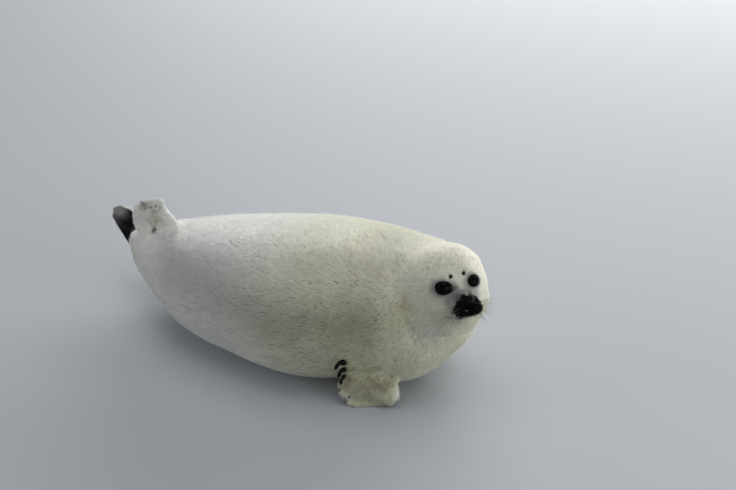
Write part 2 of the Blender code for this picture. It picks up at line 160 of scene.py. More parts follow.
def spread(values, edges, rounds, share=0.5, where=None):
    """Evens values over the mesh: each vertex moves by share towards its neighbours' mean, rounds times."""
    values = np.asarray(values, float)
    flat = values.reshape(len(values), -1).copy()
    a, b = edges[:, 0], edges[:, 1]
    count = np.bincount(a, minlength=len(flat)) + np.bincount(b, minlength=len(flat))
    count = np.maximum(count, 1)[:, None]
    amount = share if where is None else share * np.asarray(where)[:, None]
    for _ in range(rounds):
        total = np.empty_like(flat)
        for k in range(flat.shape[1]):
            total[:, k] = (np.bincount(a, flat[b, k], minlength=len(flat))
                           + np.bincount(b, flat[a, k], minlength=len(flat)))
        flat += (total / count - flat) * amount
    return flat.reshape(values.shape)


def object_of(name, mesh):
    made = bpy.data.objects.new(name, mesh)
    bpy.context.scene.collection.objects.link(made)
    return made


def smooth_shaded(mesh):
    mesh.polygons.foreach_set("use_smooth", np.ones(len(mesh.polygons), bool))


def triangle_mesh(name, points, triangles):
    mesh = bpy.data.meshes.new(name)
    mesh.vertices.add(len(points))
    mesh.vertices.foreach_set("co", np.asarray(points, np.float32).ravel())
    mesh.loops.add(len(triangles) * 3)
    mesh.loops.foreach_set("vertex_index", np.asarray(triangles, np.int32).ravel())
    mesh.polygons.add(len(triangles))
    mesh.polygons.foreach_set("loop_start", np.arange(0, len(triangles) * 3, 3, dtype=np.int32))
    mesh.update(calc_edges=True)
    smooth_shaded(mesh)
    return mesh


def tint(mesh, colours):
    """Stores one colour for each vertex."""
    layer = mesh.attributes.new("Tint", "FLOAT_COLOR", "POINT")
    rgba = np.ones((len(mesh.vertices), 4), np.float32)
    rgba[:, :3] = colours
    layer.data.foreach_set("color", rgba.ravel())


# ---- outline of the coat, from the solids
REGIONS = ("head", "neck", "body", "tail", "fore", "hind_left", "hind_right")
HEAD, NECK, BODY, TAIL, FORE, HIND_LEFT, HIND_RIGHT = range(len(REGIONS))
# each solid's region, and the coat's depth over it
FLESH = dict(head=(HEAD, .0056), muzzle=(HEAD, .0028), lower_jaw=(HEAD, .0042), neck=(NECK, .0068),
             chest=(BODY, .0074), trunk=(BODY, .0074), hindquarters=(BODY, .0070), tail=(TAIL, .0055),
             fore_flipper_left=(FORE, .0042), fore_flipper_right=(FORE, .0042),
             hind_flipper_left=(HIND_LEFT, .0038), hind_flipper_right=(HIND_RIGHT, .0038))
SOLIDS = dict(FLESH, eye_left=(HEAD, .002), eye_right=(HEAD, .002), nose=(HEAD, .002))
SWELL = 0.0004  # closes the thin cuts between the solids
SAME_PLACE = 1e-6
FLOOR_GAP = 0.0004  # what lies lowest stays this far above the floor
SKIN_VOXEL = 0.0048
# fur under the right hind flipper: centre and radius, set to match the photo; they hold for this size only
WEBS = (((-0.3340, 0.0040, 0.2060), 0.0180), ((-0.2900, -0.0010, 0.2070), 0.0130))


def outline():
    """One closed mesh around all the flesh solids, and for each of its vertices the nearest solid."""
    joined = bmesh.new()
    corners, triangles, owner = [], [], []
    for number, name in enumerate(SOLIDS):
        part = bmesh.new()
        part.from_mesh(nodes[name].data)
        bmesh.ops.remove_doubles(part, verts=part.verts, dist=SAME_PLACE)
        part.normal_update()
        for v in part.verts:
            v.co += v.normal * SWELL
        piece = bpy.data.meshes.new(name)
        part.to_mesh(piece)
        joined.from_mesh(piece)
        first = len(corners)
        corners += [v.co.copy() for v in part.verts]
        for face in part.faces:
            triangles.append([first + v.index for v in face.verts])
            owner.append(number)
        part.free()
    for place, radius in WEBS:
        bmesh.ops.create_icosphere(joined, subdivisions=3, radius=radius, matrix=Matrix.Translation(place))
    mesh = bpy.data.meshes.new("outline")
    joined.to_mesh(mesh)
    joined.free()
    made = object_of("outline", mesh)
    remesh = made.modifiers.new("remesh", "REMESH")
    remesh.mode = "VOXEL"
    remesh.voxel_size = SKIN_VOXEL
    done = bpy.data.meshes.new_from_object(made.evaluated_get(bpy.context.evaluated_depsgraph_get()))
    bpy.data.objects.remove(made)
    tree = BVHTree.FromPolygons(corners, triangles)
    nearest = np.array([owner[tree.find_nearest(v.co)[2]] for v in done.vertices])
    return done, nearest


skin_mesh, nearest = outline()

# ---- how deep the coat is, and the skin under it
FACE_FROM, FACE_TO = 0.030, 0.078  # forward of the head's centre, where the coat thins to the face's
FACE_COAT = 0.0030
FLOOR_COAT, FLOOR_RISE = 0.0012, 0.32  # pressed flat at the floor, deeper with height above it
# how many times spread() evens each of these out
REGION_ROUNDS, DEPTH_ROUNDS, NORMAL_ROUNDS, CALM_ROUNDS, FILL_ROUNDS, FILLET_ROUNDS = 12, 14, 3, 4, 6, 40
CREASE_ROUNDS, CREASE_PASSES, CREASE_FILL = 90, 4, 0.012
BODY_MIDDLE_Y = 0.0093
# Small moves of the skin: on which region, where, how far around, and the move. The left fore flipper
# mirrors the right. They were measured on the photo, to fit its outline, and hold for this size only.
MOVES = ((FORE, (0.338, -0.127, 0.080), (0.045, 0.060, 0.040), (-0.020, 0.010, -0.004)),
         (FORE, (0.330, -0.160, 0.018), (0.040, 0.040, 0.030), (0.009, -0.004, 0.0)),
         (FORE, (0.280, -0.175, 0.010), (0.060, 0.040, 0.030), (0.0, 0.006, 0.0)),
         (FORE, (0.335, -0.124, 0.024), (0.034, 0.050, 0.036), (0.0085, 0.0015, 0.0)),
         (FORE, (0.215, -0.165, 0.060), (0.030, 0.050, 0.030), (-0.006, -0.002, 0.0)),
         (FORE, (0.232, -0.190, 0.010), (0.030, 0.040, 0.025), (0.006, 0.003, 0.0)),
         (HEAD, (0.475, 0.025, 0.315), (0.030, 0.050, 0.035), (-0.0050, -0.0024, 0.0)),
         (HIND_RIGHT, (-0.385, -0.020, 0.245), (0.035, 0.060, 0.050), (-0.0060, -0.0040, 0.0)),
         (HIND_RIGHT, (-0.318, -0.010, 0.285), (0.028, 0.060, 0.030), (0.0030, 0.0, 0.0065)),
         (BODY, (-0.440, 0.020, 0.115), (0.045, 0.060, 0.045), (-0.0010, -0.0010, 0.0060)))


def mirrored(points):
    """The places with both sides laid on the pup's right, from the body's middle."""
    return np.column_stack((points[:, 0], -np.abs(points[:, 1] - BODY_MIDDLE_Y), points[:, 2]))


def blob(points, centre, size):
    """1 at the centre, falling to 0 at about size away."""
    d = np.linalg.norm((points - np.asarray(centre)) / np.asarray(size), axis=1)
    return np.exp(-(1.5 * d) ** 2)


def shifted(points, region):
    for part, centre, size, move in MOVES:
        paired = part == FORE
        share = region[:, part] * blob(mirrored(points) if paired else points, centre, size)
        away = np.where(paired & (points[:, 1:2] > BODY_MIDDLE_Y), (1, -1, 1), (1, 1, 1)) * np.array(move)
        points = points + away * share[:, None]
    return points


def coat_depth(points, smoothed):
    x, y, z = to_head(points).T
    thin = ramp(x, FACE_FROM, FACE_TO) * ramp(np.abs(y), 0.075, 0.050)
    thin = thin * ramp(z, -0.090, -0.060)
    depth = smoothed + (np.minimum(smoothed, FACE_COAT) - smoothed) * thin
    return np.minimum(depth, FLOOR_COAT + FLOOR_RISE * np.maximum(points[:, 2], 0))


def seam(share):
    """1 where a region shares a place half and half with its neighbour, 0 inside either."""
    return 4 * share * (1 - share)


def widened(part):
    return spread((region[:, part] > 0.5).astype(float), links, CREASE_ROUNDS)


outer = coordinates(skin_mesh)
links = edges_of(skin_mesh)
region = np.zeros((len(outer), len(REGIONS)))
for number, (part, _) in enumerate(SOLIDS.values()):
    region[nearest == number, part] = 1
region = spread(region, links, REGION_ROUNDS)
outer = shifted(outer, region)
height = outer[:, 2]
deep = spread(np.array([thick for _, thick in SOLIDS.values()])[nearest], links, DEPTH_ROUNDS)
deep = coat_depth(outer, deep)
outward = unit(spread(vertex_normals(skin_mesh), links, NORMAL_ROUNDS))
inner = outer - outward * deep[:, None]

# the coat bridges the creases around the head and under the right hind flipper
head_x, _, head_z = to_head(outer).T
hind_seam = ramp(seam(widened(HIND_RIGHT)), 0.3, 0.9)
crease = ramp(seam(widened(HEAD)), 0.15, 0.75)
crease = crease * np.maximum(ramp(head_x, 0.045, 0.015), ramp(head_z, -0.050, -0.065))
crease = np.maximum(crease, 0.7 * hind_seam * ramp(height, 0.23, 0.20))
throat = ramp(head_z, -0.050, -0.070) * ramp(head_x, -0.06, -0.02) * (height > 0.08)
for _ in range(CREASE_PASSES):
    bridged = spread(inner, links, CREASE_ROUNDS)
    fill = np.clip(dot(bridged - inner, outward), 0, CREASE_FILL) * np.maximum(crease * 0.6, throat)
    inner = inner + outward * spread(fill, links, FILL_ROUNDS)[:, None]
calm = spread(inner, links, CALM_ROUNDS)
still = ramp(height, 0.004, 0.012) * (1 - 0.8 * region[:, FORE])
inner += (calm - inner) * (still * (1 - region[:, HIND_LEFT:].sum(1) * 0.7))[:, None]

# no step from the flank to the fore flippers, from the throat to the chest or at the hind flipper's root
fillet = np.clip(seam(region[:, FORE]), 0, 1) * ramp(height, 0.035, 0.06)
under = ramp(height, 0.27, 0.24) * ramp(height, 0.10, 0.14)
fillet = np.maximum(fillet, np.clip(seam(region[:, HEAD]), 0, 1) * under)
fillet = np.maximum(fillet, 0.8 * hind_seam * ramp(height, 0.245, 0.222))
inner = spread(inner, links, FILLET_ROUNDS, 0.5, fillet)
set_coordinates(skin_mesh, inner)

# carry the regions and the depth through the subdivision as attributes
for number, name in enumerate(REGIONS):
    skin_mesh.attributes.new("region_" + name, "FLOAT", "POINT").data.foreach_set(
        "value", region[:, number].astype(np.float32))
skin_mesh.attributes.new("depth", "FLOAT", "POINT").data.foreach_set("value", deep.astype(np.float32))


def refine(mesh, near):
    """Cuts the faces whose middle near() picks into four."""
    work = bmesh.new()
    work.from_mesh(mesh)
    middles = np.array([f.calc_center_median() for f in work.faces])
    picked = near(to_head(middles))
    work.faces.ensure_lookup_table()
    chosen = {e for i in np.flatnonzero(picked) for e in work.faces[i].edges}
    bmesh.ops.subdivide_edges(work, edges=list(chosen), cuts=1, use_grid_fill=True)
    bmesh.ops.triangulate(work, faces=[f for f in work.faces if len(f.verts) > 4])
    work.to_mesh(mesh)
    work.free()


FACE_TOP = 0.06


def face_zone(reach, low, ahead):
    """Picks the face's front: how far aside, from how low up, and from how far ahead."""
    def near(h):
        x, y, z = h.T
        return (x > ahead) & (np.abs(y) < reach) & (z > low) & (z < FACE_TOP)
    return near


def calm_face(mesh, rounds, ahead):
    points = coordinates(mesh)
    h = to_head(points)
    where = ramp(h[:, 0], ahead, ahead + 0.02) * ramp(h[:, 2], -0.095, -0.07)
    set_coordinates(mesh, spread(points, edges_of(mesh), rounds, 0.5, where))


calm_face(skin_mesh, 4, 0.0)
refine(skin_mesh, face_zone(0.070, -0.080, 0.020))
calm_face(skin_mesh, 8, 0.02)
refine(skin_mesh, face_zone(0.060, -0.070, 0.036))
calm_face(skin_mesh, 12, 0.03)

# ---- lids, mouth and folds, moved into the skin
SIDES = (1.0, -1.0)  # the pup's left, then its right
# the values of the two openings come from a fit to the photo, and some were changed after it
EYE_LOOK = {1.0: 0.15, -1.0: 0.46}  # how far each eye opening faces aside, left and right
LID_WIDE = {1.0: 0.74, -1.0: 1.09}  # half the opening, as angles at the eyeball's centre
LID_TALL = {1.0: 0.68, -1.0: 0.79}
LID_POWER = {1.0: 2.0, -1.0: 2.1}  # 2 is an ellipse, more is squarer
TEAR_CORNER = {1.0: 0.03, -1.0: 0.22}  # how far its corner by the nose draws out
OUTER_CORNER = {1.0: 0.00, -1.0: 0.02}  # and its corner towards the ear
LID_REACH = 1.50  # the angle at which the lids have run out into the face
LID_STANDS = 0.0012  # the lid's edge over the eyeball
LID_DIPS = 0.0030  # the skin inside the opening, under the eyeball's surface


def eye_axes(side):
    """The eye's centre, its look, the way to its tear corner and the way up, in the head's axes."""
    centre = np.array((EYE_AT[0], EYE_AT[1] * side, EYE_AT[2]))
    look = unit(np.array((0.88, EYE_LOOK[side] * side, 0.22)))
    inward = np.array((0.34, -0.93 * side, -0.12))
    inward = unit(inward - look * dot(inward, look))
    up = np.cross(look, inward)
    return centre, look, inward, up * np.sign(up[2])


def opening(ray, side):
    """For rays from the eye's centre: the angle from its look, and the angle at which the lid's edge lies."""
    _, look, inward, up = eye_axes(side)
    x, y, z = dot(ray, inward), dot(ray, up), dot(ray, look)
    angle = np.arctan2(np.hypot(x, y), z)
    way = np.arctan2(y, x)
    power = LID_POWER[side]
    edge = np.abs(np.cos(way) / LID_WIDE[side]) ** power + np.abs(np.sin(way) / LID_TALL[side]) ** power
    edge = edge ** (-1 / power)
    corner = np.where(x > 0, TEAR_CORNER[side], OUTER_CORNER[side])
    return angle, edge + corner * np.exp(-np.abs(np.sin(way)) / 0.22)


def eye_places(h, side):
    """For points in the head's axes: distance from the eye's centre, share of the way to the lid's edge,
    the look's share, and the ray to the point."""
    centre, look, _, _ = eye_axes(side)
    away = h - centre
    distance = np.linalg.norm(away, axis=1)
    ray = away / np.maximum(distance, 1e-9)[:, None]
    angle, edge = opening(ray, side)
    return distance, angle / edge, dot(ray, look), ray


def sculpt_eyes(h):
    for side in SIDES:
        distance, m, ahead, ray = eye_places(h, side)
        angle, edge = opening(ray, side)
        near = (ahead > 0.05) & (distance < EYE_RADIUS + 0.030)
        lid = EYE_RADIUS + LID_STANDS + 0.0010 * ramp(m, 1.0, 1.2)
        dip = EYE_RADIUS - LID_DIPS
        inside = dip + (lid - dip) * ramp(m, 0.90, 0.985)
        run_out = np.clip((angle - edge) / (LID_REACH - edge), 0, 1)
        outside = lid + (np.maximum(distance, lid) - lid) * ramp(run_out, 0.0, 1.0)
        moved = np.where(near, np.where(m < 1.0, inside, outside), distance)
        h = h + ray * (moved - distance)[:, None]
    return h


MOUTH_UP, MOUTH_FROM, MOUTH_SLOPE = -0.0500, 0.058, 0.10


def mouth_line(h):
    """How far a point stands above the line of the lips."""
    return h[:, 2] - (MOUTH_UP + MOUTH_SLOPE * np.maximum(0.100 - h[:, 0], 0))


def sculpt_muzzle(h):
    x, y, z = h.T
    lips = np.exp(-(mouth_line(h) / 0.0016) ** 2) * ramp(x, MOUTH_FROM, MOUTH_FROM + 0.012)
    groove = np.exp(-(y / 0.0013) ** 2) * ramp(x, 0.092, 0.098)
    groove = groove * ramp(z, -0.052, -0.048) * ramp(z, -0.026, -0.031)
    core = np.array((0.080, 0.0, -0.036))
    away = unit(h - core)
    return h - away * (0.0030 * lips + 0.0022 * groove)[:, None]


# the fold behind the pup's right cheek, from the nape down to the throat, placed to match the photo
FOLD = np.array(((0.285, -0.031, 0.335), (0.303, -0.067, 0.322), (0.322, -0.091, 0.295),
                 (0.338, -0.105, 0.262), (0.352, -0.111, 0.232), (0.362, -0.112, 0.205),
                 (0.368, -0.105, 0.175)))
FOLD_DEPTH, FOLD_RIM, FOLD_WIDTH, RIM_AWAY, FOLD_ROUNDS = 0.0024, 0.0008, 0.013, 0.026, 6


def fold_distance(points, path):
    """Distance to the path, and the share of the way along it."""
    best = np.full(len(points), 9.0)
    along = np.zeros(len(points))
    for k in range(len(path) - 1):
        a, step = path[k], path[k + 1] - path[k]
        t = np.clip((points - a) @ step / (step @ step), 0, 1)
        d = np.linalg.norm(points - a - t[:, None] * step, axis=1)
        better = d < best
        best = np.where(better, d, best)
        along = np.where(better, (k + t) / (len(path) - 1), along)
    return best, along


def sculpt_folds(points, normals):
    d, along = fold_distance(points, FOLD)
    ends = ramp(along, 0.0, 0.25) * ramp(along, 1.0, 0.8)
    depth = ends * (FOLD_DEPTH * np.exp(-(d / FOLD_WIDTH) ** 2)
                    - FOLD_RIM * np.exp(-((d - RIM_AWAY) / FOLD_WIDTH) ** 2))
    return points - normals * depth[:, None]


points = coordinates(skin_mesh)
points = sculpt_folds(points, unit(spread(vertex_normals(skin_mesh), edges_of(skin_mesh), FOLD_ROUNDS)))
points = from_head(sculpt_eyes(sculpt_muzzle(to_head(points))))
set_coordinates(skin_mesh, points)

# ---- markings with painted light and shade, the same on skin and coat
WHITE = np.array((0.86, 0.86, 0.84))
WARM = np.array((0.80, 0.795, 0.66))
OLIVE = np.array((0.50, 0.49, 0.38))
STRAW = np.array((0.72, 0.66, 0.47))
GREY = np.array((0.23, 0.24, 0.25))
BLACK = np.array((0.0040, 0.0040, 0.0044))
BROWN = np.array((0.37, 0.335, 0.225))
CREAM = np.array((0.90, 0.875, 0.77))  # the head
STAIN = np.array((0.54, 0.50, 0.25))  # on the neck
YELLOWED = np.array((0.99, 0.99, 0.87))  # multiplies the colour low on the front
# pale fur on the fore flippers' edges, painted brighter than the coat as a lit rim
FRINGE_PALE_WITH_PAINTED_LIGHT = np.array((0.96, 0.95, 0.94))  # the fore flippers' edges
HIND_WHITE = np.array((0.97, 0.96, 0.90))
TAN = np.array((0.36, 0.34, 0.29))
SOLE_PALE_GREY = np.array((0.085, 0.085, 0.085))  # the paler part of the left hind sole

# The places and sizes of all the marks below were measured on the photo or set against it: those of the
# face in the head's axes, the others in the row's frame. They hold for this pose and size only.
# Where the face is black: the nose, both whisker pads, the lip between them and points above the nose
BLACK_FORMS = (((0.112, 0.0, -0.0225), 0.0145), ((0.103, 0.0165, -0.0320), 0.0168),
               ((0.1015, -0.0175, -0.0310), 0.0162), ((0.105, 0.0, -0.0380), 0.0145),
               ((0.094, 0.0195, -0.0175), 0.0100), ((0.096, 0.0110, -0.0115), 0.0098),
               ((0.098, -0.0040, -0.0095), 0.0103), ((0.099, -0.0125, -0.0170), 0.0088))
GREY_FORMS = (((0.078, 0.028, -0.012), (0.023, 0.019, 0.020), 0.95),  # on both sides of the face
              ((0.066, 0.030, 0.026), (0.02, 0.022, 0.016), 0.45))
SPECKLED = ((0.098, 0, -0.010), (0.014, 0.022, 0.012))
BROW_ASIDE, BROW_UP = 0.0152, 0.0338
# painted shade along the flank: its height, its spread and how dark it gets
FLANK_HEIGHT, FLANK_SPREAD, FLANK_PAINTED_SHADE = 0.205, 0.062, 0.37
# soft marks, and on the body painted light and shade: where, how large, the colour and how much of it
BODY_MARKS_AND_PAINTED_LIGHT = (((0.100, -0.206, 0.165), (0.10, 0.08, 0.05), (0.65, 0.60, 0.43), 0.4),
              ((0.170, -0.185, 0.115), (0.06, 0.05, 0.04), (0.50, 0.53, 0.52), 0.45),
              # painted shade on the top of the shoulders
              ((0.260, 0.030, 0.330), (0.11, 0.10, 0.06), (0.62, 0.62, 0.50), 0.65),
              # painted light on the near cheek and throat
              ((0.390, -0.085, 0.215), (0.08, 0.06, 0.07), (0.97, 0.96, 0.84), 0.9),
              # painted light on the rump
              ((-0.360, 0.020, 0.190), (0.12, 0.14, 0.12), (0.94, 0.94, 0.91), 0.9))
HIND_MARKS = (((-0.3630, -0.012, 0.2720), (0.016, 0.03, 0.020), OLIVE * 0.50, 0.9),
              ((-0.331, -0.011, 0.240), (0.016, 0.03, 0.025), STRAW, 0.6),
              ((-0.334, -0.014, 0.259), (0.012, 0.03, 0.006), OLIVE * 0.6, 0.6))
# marks without a colour of their own: where, how large and how much
STAINS = (((0.337, -0.103, 0.265), (0.030, 0.040, 0.050), 1.0),
          ((0.351, -0.109, 0.222), (0.025, 0.03, 0.035), 0.8))
# the fore flippers' pale edges, with painted light: where, how large and how much
FRINGE_PLACES_PALE_WITH_PAINTED_LIGHT = (((0.3450, -0.130, 0.0300), (0.016, 0.050, 0.032), 1.0),
           ((0.2330, -0.185, 0.0200), (0.026, 0.050, 0.026), 0.7))
# brown on the fore flippers; a negative share keeps the fringe pale
FORE_MARKS = (((0.2915, -0.142, 0.0957), (0.022, 0.03, 0.010), 0.55),
              ((0.2414, -0.173, 0.0730), (0.022, 0.03, 0.016), 0.35),
              ((0.3123, -0.145, 0.0498), (0.020, 0.03, 0.013), 0.25),
              ((0.268, -0.150, 0.105), (0.030, 0.03, 0.020), 0.30),
              ((0.3350, -0.140, 0.0300), (0.022, 0.05, 0.030), -1.10),
              ((0.2330, -0.195, 0.0150), (0.036, 0.05, 0.030), -1.00),
              ((0.2900, -0.180, 0.0050), (0.060, 0.05, 0.018), -0.85))
TAN_PATCH = ((-0.4900, 0.058, 0.1780), (0.022, 0.03, 0.016))  # fur on the left hind sole, near its tip
SOLE_PALE_PATCH = ((-0.4980, 0.050, 0.1560), (0.022, 0.050, 0.028))
SPOT = (-0.3385, -0.0160, 0.2050)  # the black spot at the root of the right hind flipper
SPOT_SIZE = (0.0095, 0.022, 0.0095)
# the line of painted shade along the crease through the black spot
CREASE_PAINTED_SHADE_LINE = np.array(((-0.3550, -0.013, 0.232), SPOT, (-0.3380, -0.011, 0.232)))
SOLE_LEFT = unit(np.array((0.25, -0.95, 0.20)))  # the way the bare soles face
SOLE_RIGHT = unit(np.array((-0.25, 0.95, -0.10)))


def black_patch(h):
    """1 where the face is black, with a ragged edge."""
    ragged = 0.0050 * (noise(h, 0.006, 1) - 0.5) + 0.0060 * (noise(h, 0.0025, 2) - 0.5)
    d = np.min([np.linalg.norm(h - np.array(centre), axis=1) - radius for centre, radius in BLACK_FORMS], 0)
    return ramp(d + ragged, 0.0016, -0.0016)


def brow_spots(h):
    """1 on the two dark spots over the eyes, from which the brow hairs grow."""
    x, y, z = h.T
    away = np.hypot((np.abs(y) - BROW_ASIDE) / 1.1, z - BROW_UP) + 0.0030 * (noise(h, 0.0035, 14) - 0.5)
    return ramp(away, 0.0052, 0.0030) * (x > 0.045)


def marked(colour, points, marks, where=1.0):
    for centre, size, shade, share in marks:
        colour = mix(colour, np.array(shade), share * where * blob(points, centre, size))
    return colour


def strongest(points, marks):
    return np.max([share * blob(points, centre, size) for centre, size, share in marks], axis=0)


def body_colour(points, regions, normals):
    """White behind, warmer and yellower ahead, darker low down; soft marks, with painted light on the near
    cheek and the rump and painted shade on the shoulders; painted shade along the flank.
    """
    x, _, z = points.T
    ahead = ramp(x, -0.12, 0.16)
    colour = mix(np.tile(WHITE, (len(points), 1)), WARM, ahead)
    patchy = noise(points, 0.11, 3)
    colour = mix(colour, STRAW, 0.22 * ramp(patchy, 0.45, 0.85) * (0.2 + 0.8 * ahead))
    low = ramp(z, 0.24, 0.05)
    colour = mix(colour, OLIVE, (0.10 + 0.16 * noise(points, 0.05, 4)) * low)
    colour = mix(colour, STAIN, 0.85 * strongest(points, STAINS))
    colour = mix(colour, colour * YELLOWED, ramp(x, 0.05, 0.28) * ramp(z, 0.32, 0.20))
    # soft marks, with painted light on the near cheek and the rump and painted shade on the shoulders
    colour = marked(colour, points, BODY_MARKS_AND_PAINTED_LIGHT)
    # painted shade along the flank, weaker where the surface faces up
    flank = np.exp(-((z - FLANK_HEIGHT) / FLANK_SPREAD) ** 2) * regions[:, BODY] * ramp(x, -0.36, -0.22)
    flank = flank * ramp(normals[:, 2], 0.97, 0.80)
    return colour * (1 - FLANK_PAINTED_SHADE * flank)[:, None]


def face_colour(colour, h, head):
    """Grey around the eyes and on the cheeks, black on the lids, the muzzle, the brow spots and the lips."""
    front = ramp(h[:, 0], 0.03, 0.05) * head
    colour = mix(colour, CREAM, 0.6 * head * ramp(h[:, 2], -0.05, 0.0))
    grey = 0.0
    dark = np.maximum(black_patch(h) * front, brow_spots(h) * front)
    for side in SIDES:
        _, m, ahead, _ = eye_places(h, side)
        for centre, size, share in GREY_FORMS:
            grey = np.maximum(grey, share * blob(h, np.array(centre) * (1, side, 1), size))
        grey = np.maximum(grey, 0.95 * ramp(m, 1.75, 1.02) * ramp(ahead, 0.0, 0.2) * front)
        dark = np.maximum(dark, ramp(m, 1.12, 1.03) * (ahead > 0.05) * front)
    speckle = 0.55 + 0.9 * (noise(h, 0.0035, 6) - 0.5)
    grey = np.maximum(grey, 0.75 * blob(h, *SPECKLED) * speckle)
    colour = mix(colour, GREY, grey * front)
    lips = np.exp(-(mouth_line(h) / 0.0028) ** 2) * ramp(h[:, 0], 0.062, 0.078)
    return mix(colour, BLACK, np.maximum(dark, 0.9 * lips * front))


def fore_colour(colour, points, fore, normals):
    """Brown on the fore flippers' upper sides, with a pale fringe painted brighter than the coat as lit fur,
    and black palms.
    """
    both = mirrored(points)
    dusk = fore * (0.52 + 0.8 * (noise(points, 0.015, 8) - 0.5))
    for centre, size, share in FORE_MARKS:
        dusk = dusk + share * blob(both, centre, size)
    colour = mix(colour, BROWN, np.clip(dusk, 0, 0.9))
    # pale fringe, with painted light brighter than the coat's white
    colour = mix(colour, FRINGE_PALE_WITH_PAINTED_LIGHT, fore * strongest(both, FRINGE_PLACES_PALE_WITH_PAINTED_LIGHT))
    return mix(colour, BLACK, fore * ramp(-normals[:, 2], 0.55, 0.85))


def hind_colour(colour, points, left, right, normals):
    """Dark soles, white backs, the dark marks of the right one, the black spot at its root and painted shade
    along the crease through that spot.
    """
    tan = blob(points, *TAN_PATCH)
    sole = left * ramp(dot(normals, SOLE_LEFT), 0.15, 0.40)
    sole = sole * (1 - 0.95 * tan)
    colour = mix(colour, TAN, left * tan)
    grey_sole = BLACK * (1 + 9.0 * noise(points, 0.012, 15)[:, None] ** 2)
    # a paler speckled grey over the middle of the left hind sole
    pale_share = blob(points, *SOLE_PALE_PATCH) * (0.3 + noise(points, 0.006, 16))
    grey_sole = mix(grey_sole, SOLE_PALE_GREY, np.clip(pale_share, 0, 1))
    colour = colour + (grey_sole - colour) * sole[:, None]
    facing = dot(normals, SOLE_RIGHT)
    colour = mix(colour, BLACK, right * ramp(facing, 0.15, 0.40))
    back = right * ramp(facing, 0.10, -0.15)
    colour = mix(colour, HIND_WHITE, 0.85 * back)
    colour = marked(colour, points, HIND_MARKS, back)
    colour = mix(colour, BLACK, np.clip(1.6 * blob(points, SPOT, SPOT_SIZE), 0, 1))
    # painted shade along the crease through the black spot
    crease, _ = fold_distance(points, CREASE_PAINTED_SHADE_LINE)
    return mix(colour, OLIVE * 0.5, 0.35 * ramp(crease, 0.006, 0.001) * (points[:, 1] < 0.005))


def markings_and_painted_light(points, regions, normals):
    colour = body_colour(points, regions, normals)
    colour = face_colour(colour, to_head(points), regions[:, HEAD])
    colour = fore_colour(colour, points, regions[:, FORE], normals)
    return hind_colour(colour, points, regions[:, HIND_LEFT], regions[:, HIND_RIGHT], normals)


region = np.stack([stored(skin_mesh, "region_" + name) for name in REGIONS], 1)
depth = stored(skin_mesh, "depth")
normals = vertex_normals(skin_mesh)
tint(skin_mesh, markings_and_painted_light(points, region, normals))
skin = object_of("skin", skin_mesh)

# ---- materials
def new_material(name, roughness, grain, **sockets):
    """A look with its node tree and shader; grain is the darkest, the lightest and the scale of its noise."""
    made = bpy.data.materials.new(name)
    made.use_nodes = True
    shader = made.node_tree.nodes["Principled BSDF"]
    shader.inputs["Roughness"].default_value = roughness
    for socket, value in sockets.items():
        shader.inputs[socket.replace("_", " ")].default_value = value
    if grain:
        tinted(made.node_tree, shader, *grain)
    return made, made.node_tree, shader


def add(tree, kind, **values):
    node = tree.nodes.new(kind)
    for name, value in values.items():
        if name in node.inputs:
            node.inputs[name].default_value = value
        else:
            setattr(node, name, value)
    return node


def noise_node(tree, scale, detail=3.0, stretch=(1, 1, 1)):
    place = add(tree, "ShaderNodeTexCoord")
    mapping = add(tree, "ShaderNodeMapping", Scale=stretch)
    texture = add(tree, "ShaderNodeTexNoise", Scale=scale, Detail=detail)
    tree.links.new(place.outputs["Object"], mapping.inputs["Vector"])
    tree.links.new(mapping.outputs["Vector"], texture.inputs["Vector"])
    return texture


def tinted(tree, shader, low, high, scale):
    """Base colour from the stored tint, lightened and darkened by soft noise."""
    stored_tint = add(tree, "ShaderNodeAttribute", attribute_name="Tint")
    grain = noise_node(tree, scale)
    level = add(tree, "ShaderNodeMapRange")
    level.inputs["To Min"].default_value = low
    level.inputs["To Max"].default_value = high
    shade = add(tree, "ShaderNodeMix", data_type="RGBA", blend_type="MULTIPLY")
    shade.inputs["Factor"].default_value = 1.0
    tree.links.new(grain.outputs["Fac"], level.inputs["Value"])
    tree.links.new(stored_tint.outputs["Color"], shade.inputs["A"])
    tree.links.new(level.outputs["Result"], shade.inputs["B"])
    tree.links.new(shade.outputs["Result"], shader.inputs["Base Color"])


def bumped(tree, shader, texture, strength, distance, output="Fac"):
    bump = add(tree, "ShaderNodeBump", Strength=strength, Distance=distance)
    tree.links.new(texture.outputs[output], bump.inputs["Height"])
    tree.links.new(bump.outputs["Normal"], shader.inputs["Normal"])


skin_look, tree, shader = new_material("skin_look", 0.75, (0.80, 1.10, 60), Specular_IOR_Level=0.08)
bumped(tree, shader, noise_node(tree, 700, 2), 0.5, 0.0006)
skin_mesh.materials.append(skin_look)
smooth_shaded(skin_mesh)

# ---- the lie of the coat
NOSE_TIP = from_head(NOSE_AT[None])[0]
REACH_ROUNDS, FLOW_ROUNDS = 30, 40


def distance_from_nose(mesh, points):
    """Length of the shortest way over the mesh's edges from the nose to each vertex."""
    edges = edges_of(mesh)
    lengths = np.linalg.norm(points[edges[:, 0]] - points[edges[:, 1]], axis=1)
    neighbours = [[] for _ in range(len(points))]
    for (a, b), length in zip(edges.tolist(), lengths.tolist()):
        neighbours[a].append((b, length))
        neighbours[b].append((a, length))
    start = int(np.argmin(np.linalg.norm(points - NOSE_TIP, axis=1)))
    found = [1e9] * len(points)
    found[start] = 0.0
    queue = [(0.0, start)]
    while queue:
        d, a = heapq.heappop(queue)
        if d > found[a]:
            continue
        for b, length in neighbours[a]:
            if d + length < found[b]:
                found[b] = d + length
                heapq.heappush(queue, (found[b], b))
    found = np.array(found)
    return np.where(found > 1e8, 0, found)


